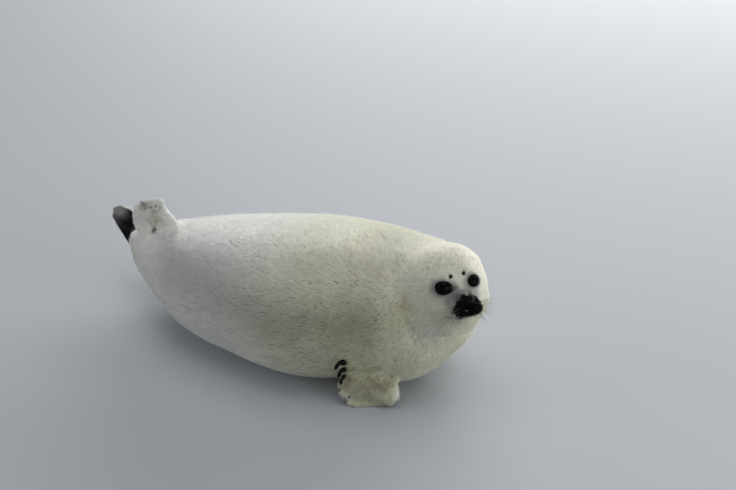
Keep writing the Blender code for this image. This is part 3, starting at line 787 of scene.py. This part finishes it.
def slope(points, triangles, values):
    """For each vertex, the way over the surface in which values grow fastest."""
    a, b, c = (points[triangles[:, k]] for k in range(3))
    va, vb, vc = (values[triangles[:, k]] for k in range(3))
    cross = np.cross(b - a, c - a)
    area = np.maximum(dot(cross, cross), 1e-16)[:, None]
    gradient = (va[:, None] * np.cross(cross, c - b) + vb[:, None] * np.cross(cross, a - c)
                + vc[:, None] * np.cross(cross, b - a)) / area
    weight = np.sqrt(area)
    total = np.zeros_like(points)
    for k in range(3):
        for axis in range(3):
            total[:, axis] += np.bincount(triangles[:, k], (gradient * weight)[:, axis], len(points))
    return unit(total)


links = edges_of(skin_mesh)
triangles = triangles_of(skin_mesh)
reach = spread(distance_from_nose(skin_mesh, points), links, REACH_ROUNDS)
flow = slope(points, triangles, reach)
flow = unit(spread(flow, links, FLOW_ROUNDS))
head_places = to_head(points)
for side in SIDES:  # the coat parts around the eyes
    centre, look, inward, up = eye_axes(side)
    distance, m, ahead, _ = eye_places(head_places, side)
    away = unit((head_places - centre) - look * dot(head_places - centre, look)[:, None]) @ TURN.T
    close = ramp(m, 2.0, 1.1) * (ahead > 0.02) * (head_places[:, 0] > 0.03)
    flow = unit(flow + away * (1.3 * close)[:, None])
flow = unit(flow - normals * dot(flow, normals)[:, None])

# ---- the coat's tufts
FORE_WRIST = np.array((0.3226, -0.1320, 0.0320))  # of the right fore flipper, from the body's middle
FORE_AHEAD = np.array((-0.868, -0.414, 0.273))  # the way its digits point
# spacing: mean distance between roots; length, width: of a tuft; clump: spacing of the locks;
# draw: how far the tips lean to their lock's
KINDS = {
    "body": dict(spacing=.0020, length=.026, width=.0016, clump=.0075, draw=.10),
    "neck": dict(spacing=.0019, length=.022, width=.0015, clump=.0070, draw=.08),
    "head": dict(spacing=.0015, length=.014, width=.0011, clump=.0050, draw=.10),
    "face": dict(spacing=.00102, length=.0062, width=.0006, clump=.0035, draw=.12),
    "foot": dict(spacing=.0018, length=.011, width=.0011, clump=.0060, draw=.24),
}
NOSE_BARE = np.array((.012, .0135, .0105))  # half sizes of the place without tufts at the nose


def kinds_at(points, regions):
    """Share of each kind of coat at each point."""
    h = to_head(points)
    head = regions[:, HEAD]
    front = ramp(h[:, 0], 0.025, 0.060) * head * ramp(h[:, 2], -0.085, -0.060)
    shares = dict(body=regions[:, BODY], neck=regions[:, NECK], head=head * (1 - front),
                  face=head * front, foot=regions[:, TAIL:].sum(1))
    total = sum(shares.values())
    return {name: share / total for name, share in shares.items()}


def blended(shares, what):
    return sum(shares[name] * KINDS[name][what] for name in KINDS)


def bare(points, regions, normals):
    """Where no tuft grows: eye openings, nose, black spot, soles and what the belly lies on."""
    h = to_head(points)
    gone = np.linalg.norm((h - NOSE_AT) / NOSE_BARE, axis=1) < 1
    for side in SIDES:
        _, m, ahead, _ = eye_places(h, side)
        gone |= (m < 1.06) & (ahead > 0.02) & (h[:, 0] > 0.03)
    gone |= blob(points, SPOT, SPOT_SIZE) > 0.45
    left = regions[:, HIND_LEFT] * ramp(dot(normals, SOLE_LEFT), 0.25, 0.45) > 0.5
    gone |= left & (blob(points, *TAN_PATCH) <= 0.25)
    gone |= regions[:, HIND_RIGHT] * ramp(dot(normals, SOLE_RIGHT), 0.25, 0.45) > 0.5
    return gone | (points[:, 2] < 0.004) & (normals[:, 2] < -0.5)


density = 1 / blended(kinds_at(points, region), "spacing") ** 2
corner = points[triangles]
area = 0.5 * np.linalg.norm(np.cross(corner[:, 1] - corner[:, 0], corner[:, 2] - corner[:, 0]), axis=1)
wanted = area * density[triangles].mean(1)
count = random.poisson(wanted)
home = np.repeat(np.arange(len(triangles)), count)
share = random.random((len(home), 2))
share = np.where(share.sum(1, keepdims=True) > 1, 1 - share, share)
weights = np.column_stack((1 - share.sum(1), share))


def at_roots(values):
    return (values[triangles[home]] * (weights if values.ndim == 1 else weights[..., None])).sum(1)


roots, root_normals = at_roots(points), unit(at_roots(normals))
root_regions = at_roots(region)
kept = ~bare(roots, root_regions, root_normals)
home, weights = home[kept], weights[kept]
roots, root_normals, root_regions = roots[kept], root_normals[kept], root_regions[kept]
root_flow = at_roots(flow)
root_depth = at_roots(depth)
shares = kinds_at(roots, root_regions)
def clump_centres():
    """For each root, the number of the root that leads its lock."""
    spacing = blended(shares, "spacing") / blended(shares, "clump")
    leaders = np.flatnonzero(random.random(len(roots)) < spacing ** 2)
    tree = KDTree(len(leaders))
    for k, number in enumerate(leaders.tolist()):
        tree.insert(roots[number], k)
    tree.balance()
    return leaders[[tree.find(place)[1] for place in roots.tolist()]]


def shaken(size):
    """A normal draw for each root, of this many degrees."""
    return np.radians(size) * random.standard_normal(number)


def waves(size, width, offset):
    return np.radians(size) * (noise(roots, width, offset) - 0.5)


GUARD_SHARE, GUARD_STANDS = 0.10, 0.45  # fine hairs that stand out of the coat
STEEPEST, ROOT_DEPTH = 0.75, 0.0008  # a tuft's rise by its length, its start under the skin
leader = clump_centres()
number = len(roots)
root_z = roots[:, 2]
turn = waves(14, 0.055, 10) * 2 + waves(10, 0.02, 11)  # away from the flow, in radians
turn += shaken(3)[leader] + shaken(7)
turn += np.radians(34) * np.clip(1.8 * root_normals[:, 1], -1, 1) * shares["body"] * ramp(root_z, 0.03, 0.12)
side_way = unit(np.cross(root_normals, root_flow))
forward = unit(root_flow * np.cos(turn)[:, None] + side_way * np.sin(turn)[:, None])
length = blended(shares, "length") * (0.80 + 0.35 * random.random(number))
length = length * (0.85 + 0.3 * random.random(number)[leader])
width = blended(shares, "width") * (0.8 + 0.4 * random.random(number))
head_roots = to_head(roots)
for side in SIDES:  # shorter beside the lids
    _, m, ahead, _ = eye_places(head_roots, side)
    near = ramp(m, 1.6, 1.05) * (ahead > 0.0) * (head_roots[:, 0] > 0.03)
    length = length * (1 - 0.55 * near)
reached = (mirrored(roots) - FORE_WRIST) @ FORE_AHEAD
fringe = root_regions[:, FORE] * ramp(reached, 0.088, 0.108) * ramp(root_z, 0.085, 0.060)
length = length * (1 + 0.9 * fringe) * (1 - 0.88 * blob(roots, SPOT, (0.026, 0.030, 0.026)))
length = length * (1 - 0.45 * black_patch(head_roots))
rise = root_depth * (0.58 + 0.04 * random.random(number)[leader] + 0.38 * random.random(number) ** 0.6)
guard = (random.random(number) < GUARD_SHARE) * (1 - shares["face"]) * (1 - shares["foot"])
guard = guard * (1 - 0.6 * shares["head"]) * ramp(root_z, 0.015, 0.05)
rise = np.minimum(rise * (1 + GUARD_STANDS * guard), length * STEEPEST)
width = width * (1 - 0.45 * guard)
run = np.sqrt(np.maximum(length ** 2 - rise ** 2, 1e-10))
base = roots - root_normals * ROOT_DEPTH
bend = roots + forward * (run * 0.42)[:, None] + root_normals * (rise * 0.72)[:, None]
tip = roots + forward * run[:, None] + root_normals * rise[:, None]
draw = blended(shares, "draw") * (0.6 + 0.5 * random.random(number))
tip += (tip[leader] - tip) * draw[:, None]
bend += (bend[leader] - bend) * (draw * 0.45)[:, None]

stray = 0.0004 + 0.0012 * ramp(head_roots[:, 0], 0.088, 0.098)
stray = random.standard_normal((number, 3)) * stray[:, None]
seen = roots + forward * (run * 0.5)[:, None]  # a tuft shows the markings under its own middle
tuft_colour = markings_and_painted_light(seen + stray, root_regions, root_normals)
level = 1 + 0.03 * random.standard_normal(number)[leader] + 0.05 * random.standard_normal(number)
tuft_colour = tuft_colour * level.clip(0.7, 1.2)[:, None]

PATCH = 0.003  # a tuft's size in the texture
SPINE_Y, SPINE_Z = 0.03, 0.13  # the line around which the body is unrolled
LONGEST_WAY = 1.15  # from the nose, along the skin


def unwrapped(points, regions, reach):
    """Each root's place on the skin unrolled: the way from the nose, and the turn around the body."""
    h = to_head(points)
    round_body = np.arctan2(points[:, 1] - SPINE_Y, points[:, 2] - SPINE_Z)
    round_head = np.arctan2(h[:, 1], h[:, 2] + 0.01)
    head = ramp(regions[:, HEAD], 0.35, 0.65)
    v = 0.5 + np.where(head > 0.5, round_head, round_body) / (2 * math.pi)
    u = reach / LONGEST_WAY
    return np.column_stack((0.01 + 0.98 * u, 0.01 + 0.98 * v)).clip(0.005, 0.992)


root_uv = unwrapped(roots, root_regions, at_roots(reach))
TUFT_FACES = np.array(((0, 2, 1), (0, 3, 2), (0, 1, 3), (4, 1, 2), (4, 2, 3), (4, 3, 1)))
TUFT_PLACES = np.array(((.5, 0), (.5, .4), (0, .4), (1, .4), (.5, 1))) - 0.5  # in the texture
ROOT_TO_TIP = np.array((0.88, 1.0, 0.97, 0.97, 1.06))  # brightness


def coat_piece(name, chosen, look):
    """Joins the chosen tufts, each a closed three-sided curved spike, in one mesh."""
    foot, knee, end = base[chosen], bend[chosen], tip[chosen]
    up, ahead = root_normals[chosen], forward[chosen]
    half = width[chosen][:, None] * 0.5
    aside = unit(np.cross(up, ahead))
    over = unit(np.cross(unit(end - foot), aside)) * -1
    over = np.where(dot(over, up)[:, None] < 0, -over, over)
    below = over * half * 0.30
    ring = [foot, knee + over * half * 0.60, knee - aside * half - below, knee + aside * half - below, end]
    places = np.stack(ring, 1)
    places[..., 2] = np.maximum(places[..., 2], FLOOR_GAP + 0.0004 * random.random(places.shape[:2]))
    faces = (TUFT_FACES[None] + 5 * np.arange(len(places))[:, None, None]).reshape(-1, 3)
    mesh = triangle_mesh(name, places.reshape(-1, 3), faces)
    uv = root_uv[chosen][:, None, :] + TUFT_PLACES[None] * PATCH
    layer = mesh.uv_layers.new(name="OFBake")
    layer.data.foreach_set("uv", uv.reshape(-1, 2)[faces.ravel()].astype(np.float32).ravel())
    colours = (tuft_colour[chosen][:, None, :] * ROOT_TO_TIP[None, :, None]).reshape(-1, 3)
    tint(mesh, colours.clip(0, 1))
    rounded = unit(places - (foot * .5 + knee * .5)[:, None, :])
    soft = unit(up[:, None, :] * 0.9 + rounded * 0.35 + ahead[:, None, :] * 0.15)
    free = mesh.attributes.new("custom_normal", "FLOAT_VECTOR", "POINT")
    free.data.foreach_set("vector", soft.reshape(-1).astype(np.float32))
    mesh.materials.append(look)
    made = object_of(name, mesh)
    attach(made, "root")


COAT_GRAIN = (0.90, 1.08, 220)
dark_look, _, _ = new_material("dark_coat_look", 0.85, COAT_GRAIN, Specular_IOR_Level=0.0)
coat_look, _, _ = new_material("coat_look", 0.80, COAT_GRAIN, Specular_IOR_Level=0.20,
                               Sheen_Weight=0.25, Sheen_Roughness=0.45)

# pieces of the coat, cut around the body so that each stays light
MOST_TUFTS = 32000
DARK_LEVEL = 0.07
kind_names = list(KINDS)
main_kind = np.argmax(np.stack([shares[n] for n in kind_names], 1), 1)
dark_ones = tuft_colour.max(1) < DARK_LEVEL  # black fur has no pale sheen
coat_piece("coat_dark", np.flatnonzero(dark_ones), dark_look)
main_kind[dark_ones] = -1
for k, kind in enumerate(kind_names):
    members = np.flatnonzero(main_kind == k)
    members = members[np.argsort(roots[members, 0], kind="stable")]
    parts = max(1, math.ceil(len(members) / MOST_TUFTS))
    for part, chosen in enumerate(np.array_split(members, parts)):
        if len(chosen):
            coat_piece(f"coat_{kind}_{part + 1}", chosen, coat_look)

# ---- eyes
def ball_faces(rings, n):
    """Faces of a ball: point 0, then rings of n points each, and the last point behind."""
    faces = []
    last = 1 + (rings - 1) * n
    for k in range(n):
        j = (k + 1) % n
        faces += [(0, 1 + k, 1 + j), (last + j, last + k, last + n)]
        for p in range(1, last, n):
            q = p + n
            faces += [(p + k, q + k, q + j), (p + k, q + j, p + j)]
    return np.array(faces)


def ball_angles(angles, sectors):
    around = np.linspace(0, 2 * math.pi, sectors, endpoint=False)
    return np.meshgrid(angles, around, indexing="ij")


PUPIL_BLACK, IRIS_BROWN = np.array((0.0015, 0.0015, 0.0018)), np.array((0.0040, 0.0028, 0.0022))
EYE_WHITE = np.array((0.10, 0.07, 0.06))
EYE_RINGS, EYE_SECTORS = 48, 72
PUPIL, IRIS = 0.36, 0.66  # as angles from the look, in radians


def eyeball(side):
    """A wet dark ball with a pupil, an iris and the start of the white around it."""
    centre, look, inward, up = eye_axes(side)
    a, r = ball_angles(np.linspace(0, math.pi, EYE_RINGS + 1)[1:-1], EYE_SECTORS)
    rays = (np.cos(a)[..., None] * look + (np.sin(a) * np.cos(r))[..., None] * inward
            + (np.sin(a) * np.sin(r))[..., None] * up).reshape(-1, 3)
    rays = np.vstack((look, rays, -look))
    a = np.concatenate(([0.0], a.ravel(), [math.pi]))
    bulge = 0.0005 * ramp(a, 0.80, 0.30)
    points = centre + rays * (EYE_RADIUS + bulge)[:, None]
    faces = ball_faces(EYE_RINGS - 1, EYE_SECTORS)
    if side < 0:
        faces = faces[:, ::-1]
    name = "eyeball_left" if side > 0 else "eyeball_right"
    mesh = triangle_mesh(name, from_head(points), faces)
    streaks = noise(rays, 0.06, 9)[:, None]
    colours = mix(PUPIL_BLACK + 0 * rays, IRIS_BROWN * (0.5 + streaks), ramp(a, PUPIL - 0.05, PUPIL + 0.05))
    colours = mix(colours, PUPIL_BLACK, ramp(a, IRIS - 0.12, IRIS))
    colours = mix(colours, EYE_WHITE, ramp(a, IRIS + 0.35, IRIS + 0.55))
    tint(mesh, colours)
    mesh.materials.append(eye_look)
    made = object_of(name, mesh)
    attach(made, "root")
    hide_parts("eye_left" if side > 0 else "eye_right")


eye_look, _, _ = new_material("eye_look", 0.20, (0.85, 1.15, 400), Coat_Weight=0.04, Coat_Roughness=0.03,
                              Coat_IOR=1.34, Specular_IOR_Level=0.03)
for side in SIDES:
    eyeball(side)

# ---- nose
NOSE_HALF = np.array((0.0090, 0.0130, 0.0100))
NOSTRIL = np.array(((0.0026, -0.0050), (0.0034, -0.0022), (0.0052, 0.0006), (0.0082, 0.0016),
                    (0.0098, 0.0004)))
NOSE_RINGS, NOSE_SECTORS, NOSE_TURN = 70, 110, 0.72  # how far around from its tip, in half turns
NOSE_POWER = 2.5  # 2 is round, more is blunter
NOSE_BLACK = np.array((0.0032, 0.0031, 0.0032))


def nose_pad():
    """A blunt leathery pad with two comma-shaped nostrils and the start of the groove below it."""
    a, r = ball_angles(np.linspace(0, NOSE_TURN * math.pi, NOSE_RINGS)[1:], NOSE_SECTORS)
    rays = np.stack((np.cos(a), np.sin(a) * np.cos(r), np.sin(a) * np.sin(r)), -1).reshape(-1, 3)
    rays = np.vstack(((1, 0, 0), rays))
    blunt = (np.abs(rays) ** NOSE_POWER).sum(1) ** (-1 / NOSE_POWER)
    points = rays * blunt[:, None] * NOSE_HALF
    points[:, 1] *= 1 - 0.24 * ramp(points[:, 2], 0.0, -0.0100)
    ahead = ramp(points[:, 0], 0.0, 0.004)
    front = np.column_stack((np.abs(points[:, 1]), points[:, 2], 0 * points[:, 2]))
    slit, _ = fold_distance(front, np.column_stack((NOSTRIL, np.zeros(len(NOSTRIL)))))
    wide = 0.0009 + 0.0007 * ramp(front[:, 0], 0.003, 0.007)
    points[:, 0] -= 0.0045 * np.exp(-(slit / wide) ** 2) * ahead
    points[:, 0] += 0.0007 * np.exp(-((slit - 0.0026) / 0.0013) ** 2) * ahead
    points[:, 0] -= 0.0010 * np.exp(-(points[:, 1] / 0.0008) ** 2) * ramp(points[:, 2], 0.001, -0.004) * ahead
    back = points[-NOSE_SECTORS:].mean(0) - np.array((0.001, 0, 0))
    points = np.vstack((points, back))
    faces = ball_faces(NOSE_RINGS - 1, NOSE_SECTORS)
    mesh = triangle_mesh("nose_pad", from_head(points + NOSE_AT), faces)
    # painted shade in the nostril slits, darker than the pad
    dark = np.exp(-(np.append(slit, 1.0) / 0.0012) ** 2)
    shade = NOSE_BLACK * (1 - 0.85 * dark)[:, None]
    tint(mesh, shade * (0.7 + 0.6 * noise(points, 0.002, 12))[:, None])
    look, tree, shader = new_material("nose_look", 0.55, (0.7, 1.3, 900), Specular_IOR_Level=0.02)
    cells = add(tree, "ShaderNodeTexVoronoi", Scale=1100.0)
    place = add(tree, "ShaderNodeTexCoord")
    tree.links.new(place.outputs["Object"], cells.inputs["Vector"])
    bumped(tree, shader, cells, 0.6, 0.0003, "Distance")
    mesh.materials.append(look)
    made = object_of("nose_pad", mesh)
    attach(made, "root")
    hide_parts("nose")


nose_pad()

# ---- claws
claw_look, tree, shader = new_material("claw_look", 0.40, (0.6, 1.5, 500), Specular_IOR_Level=0.06)
bumped(tree, shader, noise_node(tree, 900, 2), 0.4, 0.0002)


# How the claws differ from their solids, to look like the photo's: from the lowest to the highest, the share
# of the length that is left, how far they lie deeper and higher; and how much slimmer they are
CLAW_SLIMMER = {"fore": -0.0015, "hind": 0.0014}
CLAW_TINT = {"fore": np.array((0.004, 0.004, 0.004)), "hind": np.array((0.20, 0.17, 0.12))}
CLAW_SHORTER = {"fore": (0.15, 0.18, 0.40, 0.60, 0.78), "hind": (0.82, 0.84, 0.94, 0.96, 0.96)}
CLAW_DEEPER = {"fore": (0.024, 0.021, 0.006, 0.003, 0.0), "hind": (0.0,) * 5}
CLAW_RAISED = {"fore": (0.0, 0.004, 0.016, 0.008, 0.0), "hind": (0.0,) * 5}
FORE_INWARD = np.array((-0.43, 0.90, 0.0))
CLAW_SMOOTHING = 0.3
CLAW_WAYS = {"fore": FORE_AHEAD, "hind": np.array((-0.25, 0.0, 0.97))}


def claws(limb):
    """The five claws of a flipper, made from their solids: shortened, moved and rounded."""
    def subdivided():
        bmesh.ops.subdivide_edges(work, edges=work.edges[:], cuts=1, smooth=1.0, use_grid_fill=True)

    work = bmesh.new()
    names = [f"{limb.replace('_', '_claw_', 1)}_{k}" for k in range(1, 6)]
    kind = limb[:4]
    mirror = np.array((1, -1, 1) if limb == "fore_left" else (1, 1, 1))
    way = Vector(CLAW_WAYS[kind] * mirror)
    inward = Vector((FORE_INWARD * 0.5 - FORE_AHEAD) * mirror)
    for name, share, deeper, raised in zip(names, CLAW_SHORTER[kind], CLAW_DEEPER[kind], CLAW_RAISED[kind]):
        known = len(work.verts)
        work.from_mesh(nodes[name].data)
        work.verts.ensure_lookup_table()
        start = min(v.co.dot(way) for v in work.verts[known:])
        for v in work.verts[known:]:
            v.co += inward * deeper - way * (v.co.dot(way) - start) * (1 - share)
            v.co.z += raised
    bmesh.ops.remove_doubles(work, verts=work.verts, dist=SAME_PLACE)
    subdivided()
    bmesh.ops.smooth_vert(work, verts=work.verts, factor=CLAW_SMOOTHING,
                          use_axis_x=True, use_axis_y=True, use_axis_z=True)
    subdivided()
    work.normal_update()
    for v in work.verts:
        v.co -= v.normal * CLAW_SLIMMER[kind]
        v.co.z = max(v.co.z, FLOOR_GAP)
    mesh = bpy.data.meshes.new("claws_" + limb)
    work.to_mesh(mesh)
    work.free()
    smooth_shaded(mesh)
    tint(mesh, CLAW_TINT[kind] * (0.6 + 0.9 * noise(coordinates(mesh), 0.004, 13))[:, None])
    mesh.materials.append(claw_look)
    made = object_of("claws_" + limb, mesh)
    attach(made, "root")
    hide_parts(*names)


for limb in ("fore_left", "fore_right", "hind_left", "hind_right"):
    claws(limb)

# ---- whiskers and brow hairs
WHISKER_SIDES, WHISKER_STEPS = 5, 12
ROWS, COLUMNS = 5, 7
BROW_HAIRS = 5
WHISKER_THICK, BROW_THICK, HAIR_TIP, HAIR_ROOT = 0.00017, 0.00018, 0.00004, 0.0006
WHISKER_DARK, WHISKER_PALE = (0.05, 0.045, 0.04), np.array((0.55, 0.53, 0.47))
skin_tree = BVHTree.FromPolygons(points.tolist(), triangles.tolist())


def hair(start, ahead, along, sag, thick):
    """A tapered hair with a small dark foot: its points and its faces, in the row's frame."""
    t = np.linspace(0, 1, WHISKER_STEPS)
    path = start + np.outer(t * along, ahead) + np.outer((t ** 2) * along, sag)
    tangent = unit(np.gradient(path, axis=0))
    across = unit(np.cross(tangent, (0.31, 0.22, 0.92)))
    over = np.cross(tangent, across)
    radius = thick * (1 - t) ** 0.8 + HAIR_TIP
    radius[0] = thick * 1.5
    turns = np.linspace(0, 2 * math.pi, WHISKER_SIDES, endpoint=False)
    rings = (path[:, None] + radius[:, None, None] * (np.cos(turns)[None, :, None] * across[:, None]
                                                      + np.sin(turns)[None, :, None] * over[:, None]))
    n = WHISKER_SIDES
    faces = []
    for ring in range(WHISKER_STEPS - 1):
        for k in range(n):
            p, q, j = ring * n + k, (ring + 1) * n + k, (k + 1) % n
            faces.append((p, ring * n + j, (ring + 1) * n + j))
            faces.append((p, (ring + 1) * n + j, q))
    first, last = WHISKER_STEPS * n, WHISKER_STEPS * n + 1
    for k in range(n):
        faces.append((first, (k + 1) % n, k))
        faces.append((last, (WHISKER_STEPS - 1) * n + k, (WHISKER_STEPS - 1) * n + (k + 1) % n))
    return np.vstack((rings.reshape(-1, 3), path[:1], path[-1:])), np.array(faces), t


def gathered(name, hairs):
    points, faces, shades, first = [], [], [], 0
    for p, f, t in hairs:
        points.append(p)
        faces.append(f + first)
        along = np.append(np.repeat(t, WHISKER_SIDES), (0, 1))
        shades.append(mix(np.tile(WHISKER_DARK, (len(p), 1)), WHISKER_PALE, ramp(along, 0.25, 0.9)))
        first += len(p)
    mesh = triangle_mesh(name, np.vstack(points), np.vstack(faces))
    tint(mesh, np.vstack(shades))
    mesh.materials.append(whisker_look)
    made = object_of(name, mesh)
    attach(made, "root")


def on_skin(start, ray):
    """Where a ray meets the skin and the skin's normal there, or None twice."""
    place, normal, _, _ = skin_tree.ray_cast(Vector(start), Vector(ray))
    return (None, None) if place is None else (np.array(place), np.array(normal))


def whisker(side, row, column):
    """A hair of the whisker pad: the rows lie one under the other, the columns go backwards."""
    turn_out = math.radians(20 + 72 * (column + 0.5 * (row % 2)) / (COLUMNS - 1))
    lift = math.radians(24 - 15 * row)
    core = from_head(np.array(((0.086, 0.010 * side, -0.034),)))[0]
    level = math.cos(lift)
    ray = TURN @ np.array((math.cos(turn_out) * level, side * math.sin(turn_out) * level, math.sin(lift)))
    place, normal = on_skin(core, ray)
    if place is None:
        return []
    way = normal * 0.75 + TURN @ np.array((-0.25, 0.35 * side, -0.30))
    way = unit(way + random.standard_normal(3) * 0.07)
    long = 0.020 + 0.040 * column / (COLUMNS - 1) + 0.006 * random.random()
    sag = TURN @ np.array((-0.30, 0.10 * side, -0.22))
    return [hair(place - way * HAIR_ROOT, way, long, sag, WHISKER_THICK)]


def brow_hair(side, k):
    aside, up = 0.0150 + 0.0022 * (k - 2), 0.0340 + 0.0012 * (k % 3)
    aim = from_head(np.array(((0.0685 + 0.02, aside * side, up),)))[0]
    place, normal = on_skin(aim, TURN @ np.array((-1.0, 0, 0)))
    if place is None:
        return []
    way = normal * 0.8 + TURN @ np.array((0.0, 0.25 * side, 0.55))
    way = unit(way + random.standard_normal(3) * 0.1)
    long = 0.016 + 0.008 * random.random()
    return [hair(place - way * HAIR_ROOT, way, long, TURN @ np.array((-0.35, 0.1 * side, 0.0)), BROW_THICK)]


whisker_look, _, _ = new_material("whisker_look", 0.35, (0.85, 1.15, 300))
for side in SIDES:
    hairs = []
    for row in range(ROWS):
        for column in range(COLUMNS - (row in (0, ROWS - 1))):
            hairs += whisker(side, row, column)
    gathered("whiskers_left" if side > 0 else "whiskers_right", hairs)
    hairs = []
    for k in range(BROW_HAIRS):
        hairs += brow_hair(side, k)
    gathered("brow_hairs_left" if side > 0 else "brow_hairs_right", hairs)

# ---- floor and light; the powers started from a fit to the photo's brightness
FLOOR_SIZE, FLOOR_COLOUR = 30, (0.44, 0.46, 0.50, 1)
SKY_COLOUR, SKY_STRENGTH = (0.96, 1.0, 1.0, 1), 0.215
floor_look, _, shader = new_material("floor_look", 0.7, None)
shader.inputs["Base Color"].default_value = FLOOR_COLOUR
bpy.ops.mesh.primitive_plane_add(size=FLOOR_SIZE)
floor = bpy.context.object
floor.name = "floor"
floor.data.materials.append(floor_look)

world = bpy.data.worlds.new("sky")
bpy.context.scene.world = world
world.use_nodes = True
sky = world.node_tree.nodes["Background"]
sky.inputs["Color"].default_value = SKY_COLOUR
sky.inputs["Strength"].default_value = SKY_STRENGTH


def soft_light(name, place, aim, size, power, colour):
    lamp = bpy.data.lights.new(name, "AREA")
    lamp.shape = "RECTANGLE"
    lamp.size, lamp.size_y = size
    lamp.energy = power
    lamp.color = colour
    made = bpy.data.objects.new(name, lamp)
    made.location = place
    made.rotation_euler = (Vector(aim) - Vector(place)).to_track_quat("-Z", "Y").to_euler()
    bpy.context.scene.collection.objects.link(made)


soft_light("behind", (-0.3, 4.0, 1.3), (0, 0, 0.15), (5.0, 1.6), 188, (1.0, 0.995, 0.98))
soft_light("overhead", (0.0, 0.3, 3.6), (0, 0, 0.1), (3.0, 3.0), 40, (1.0, 1.0, 0.99))
soft_light("right", (3.4, -0.3, 1.0), (0.2, 0, 0.15), (2.4, 1.8), 40, (0.97, 1.0, 0.99))
soft_light("front_right", (2.4, -2.6, 1.0), (0.2, 0, 0.15), (2.4, 1.8), 13, (0.97, 1.0, 0.99))
soft_light("left", (-2.6, -1.5, 1.2), (-0.35, 0, 0.20), (1.4, 1.2), 15, (0.98, 1.0, 0.99))
bpy.context.scene.view_settings.view_transform = "Standard"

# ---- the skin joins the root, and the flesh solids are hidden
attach(skin, "root")
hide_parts(*FLESH)
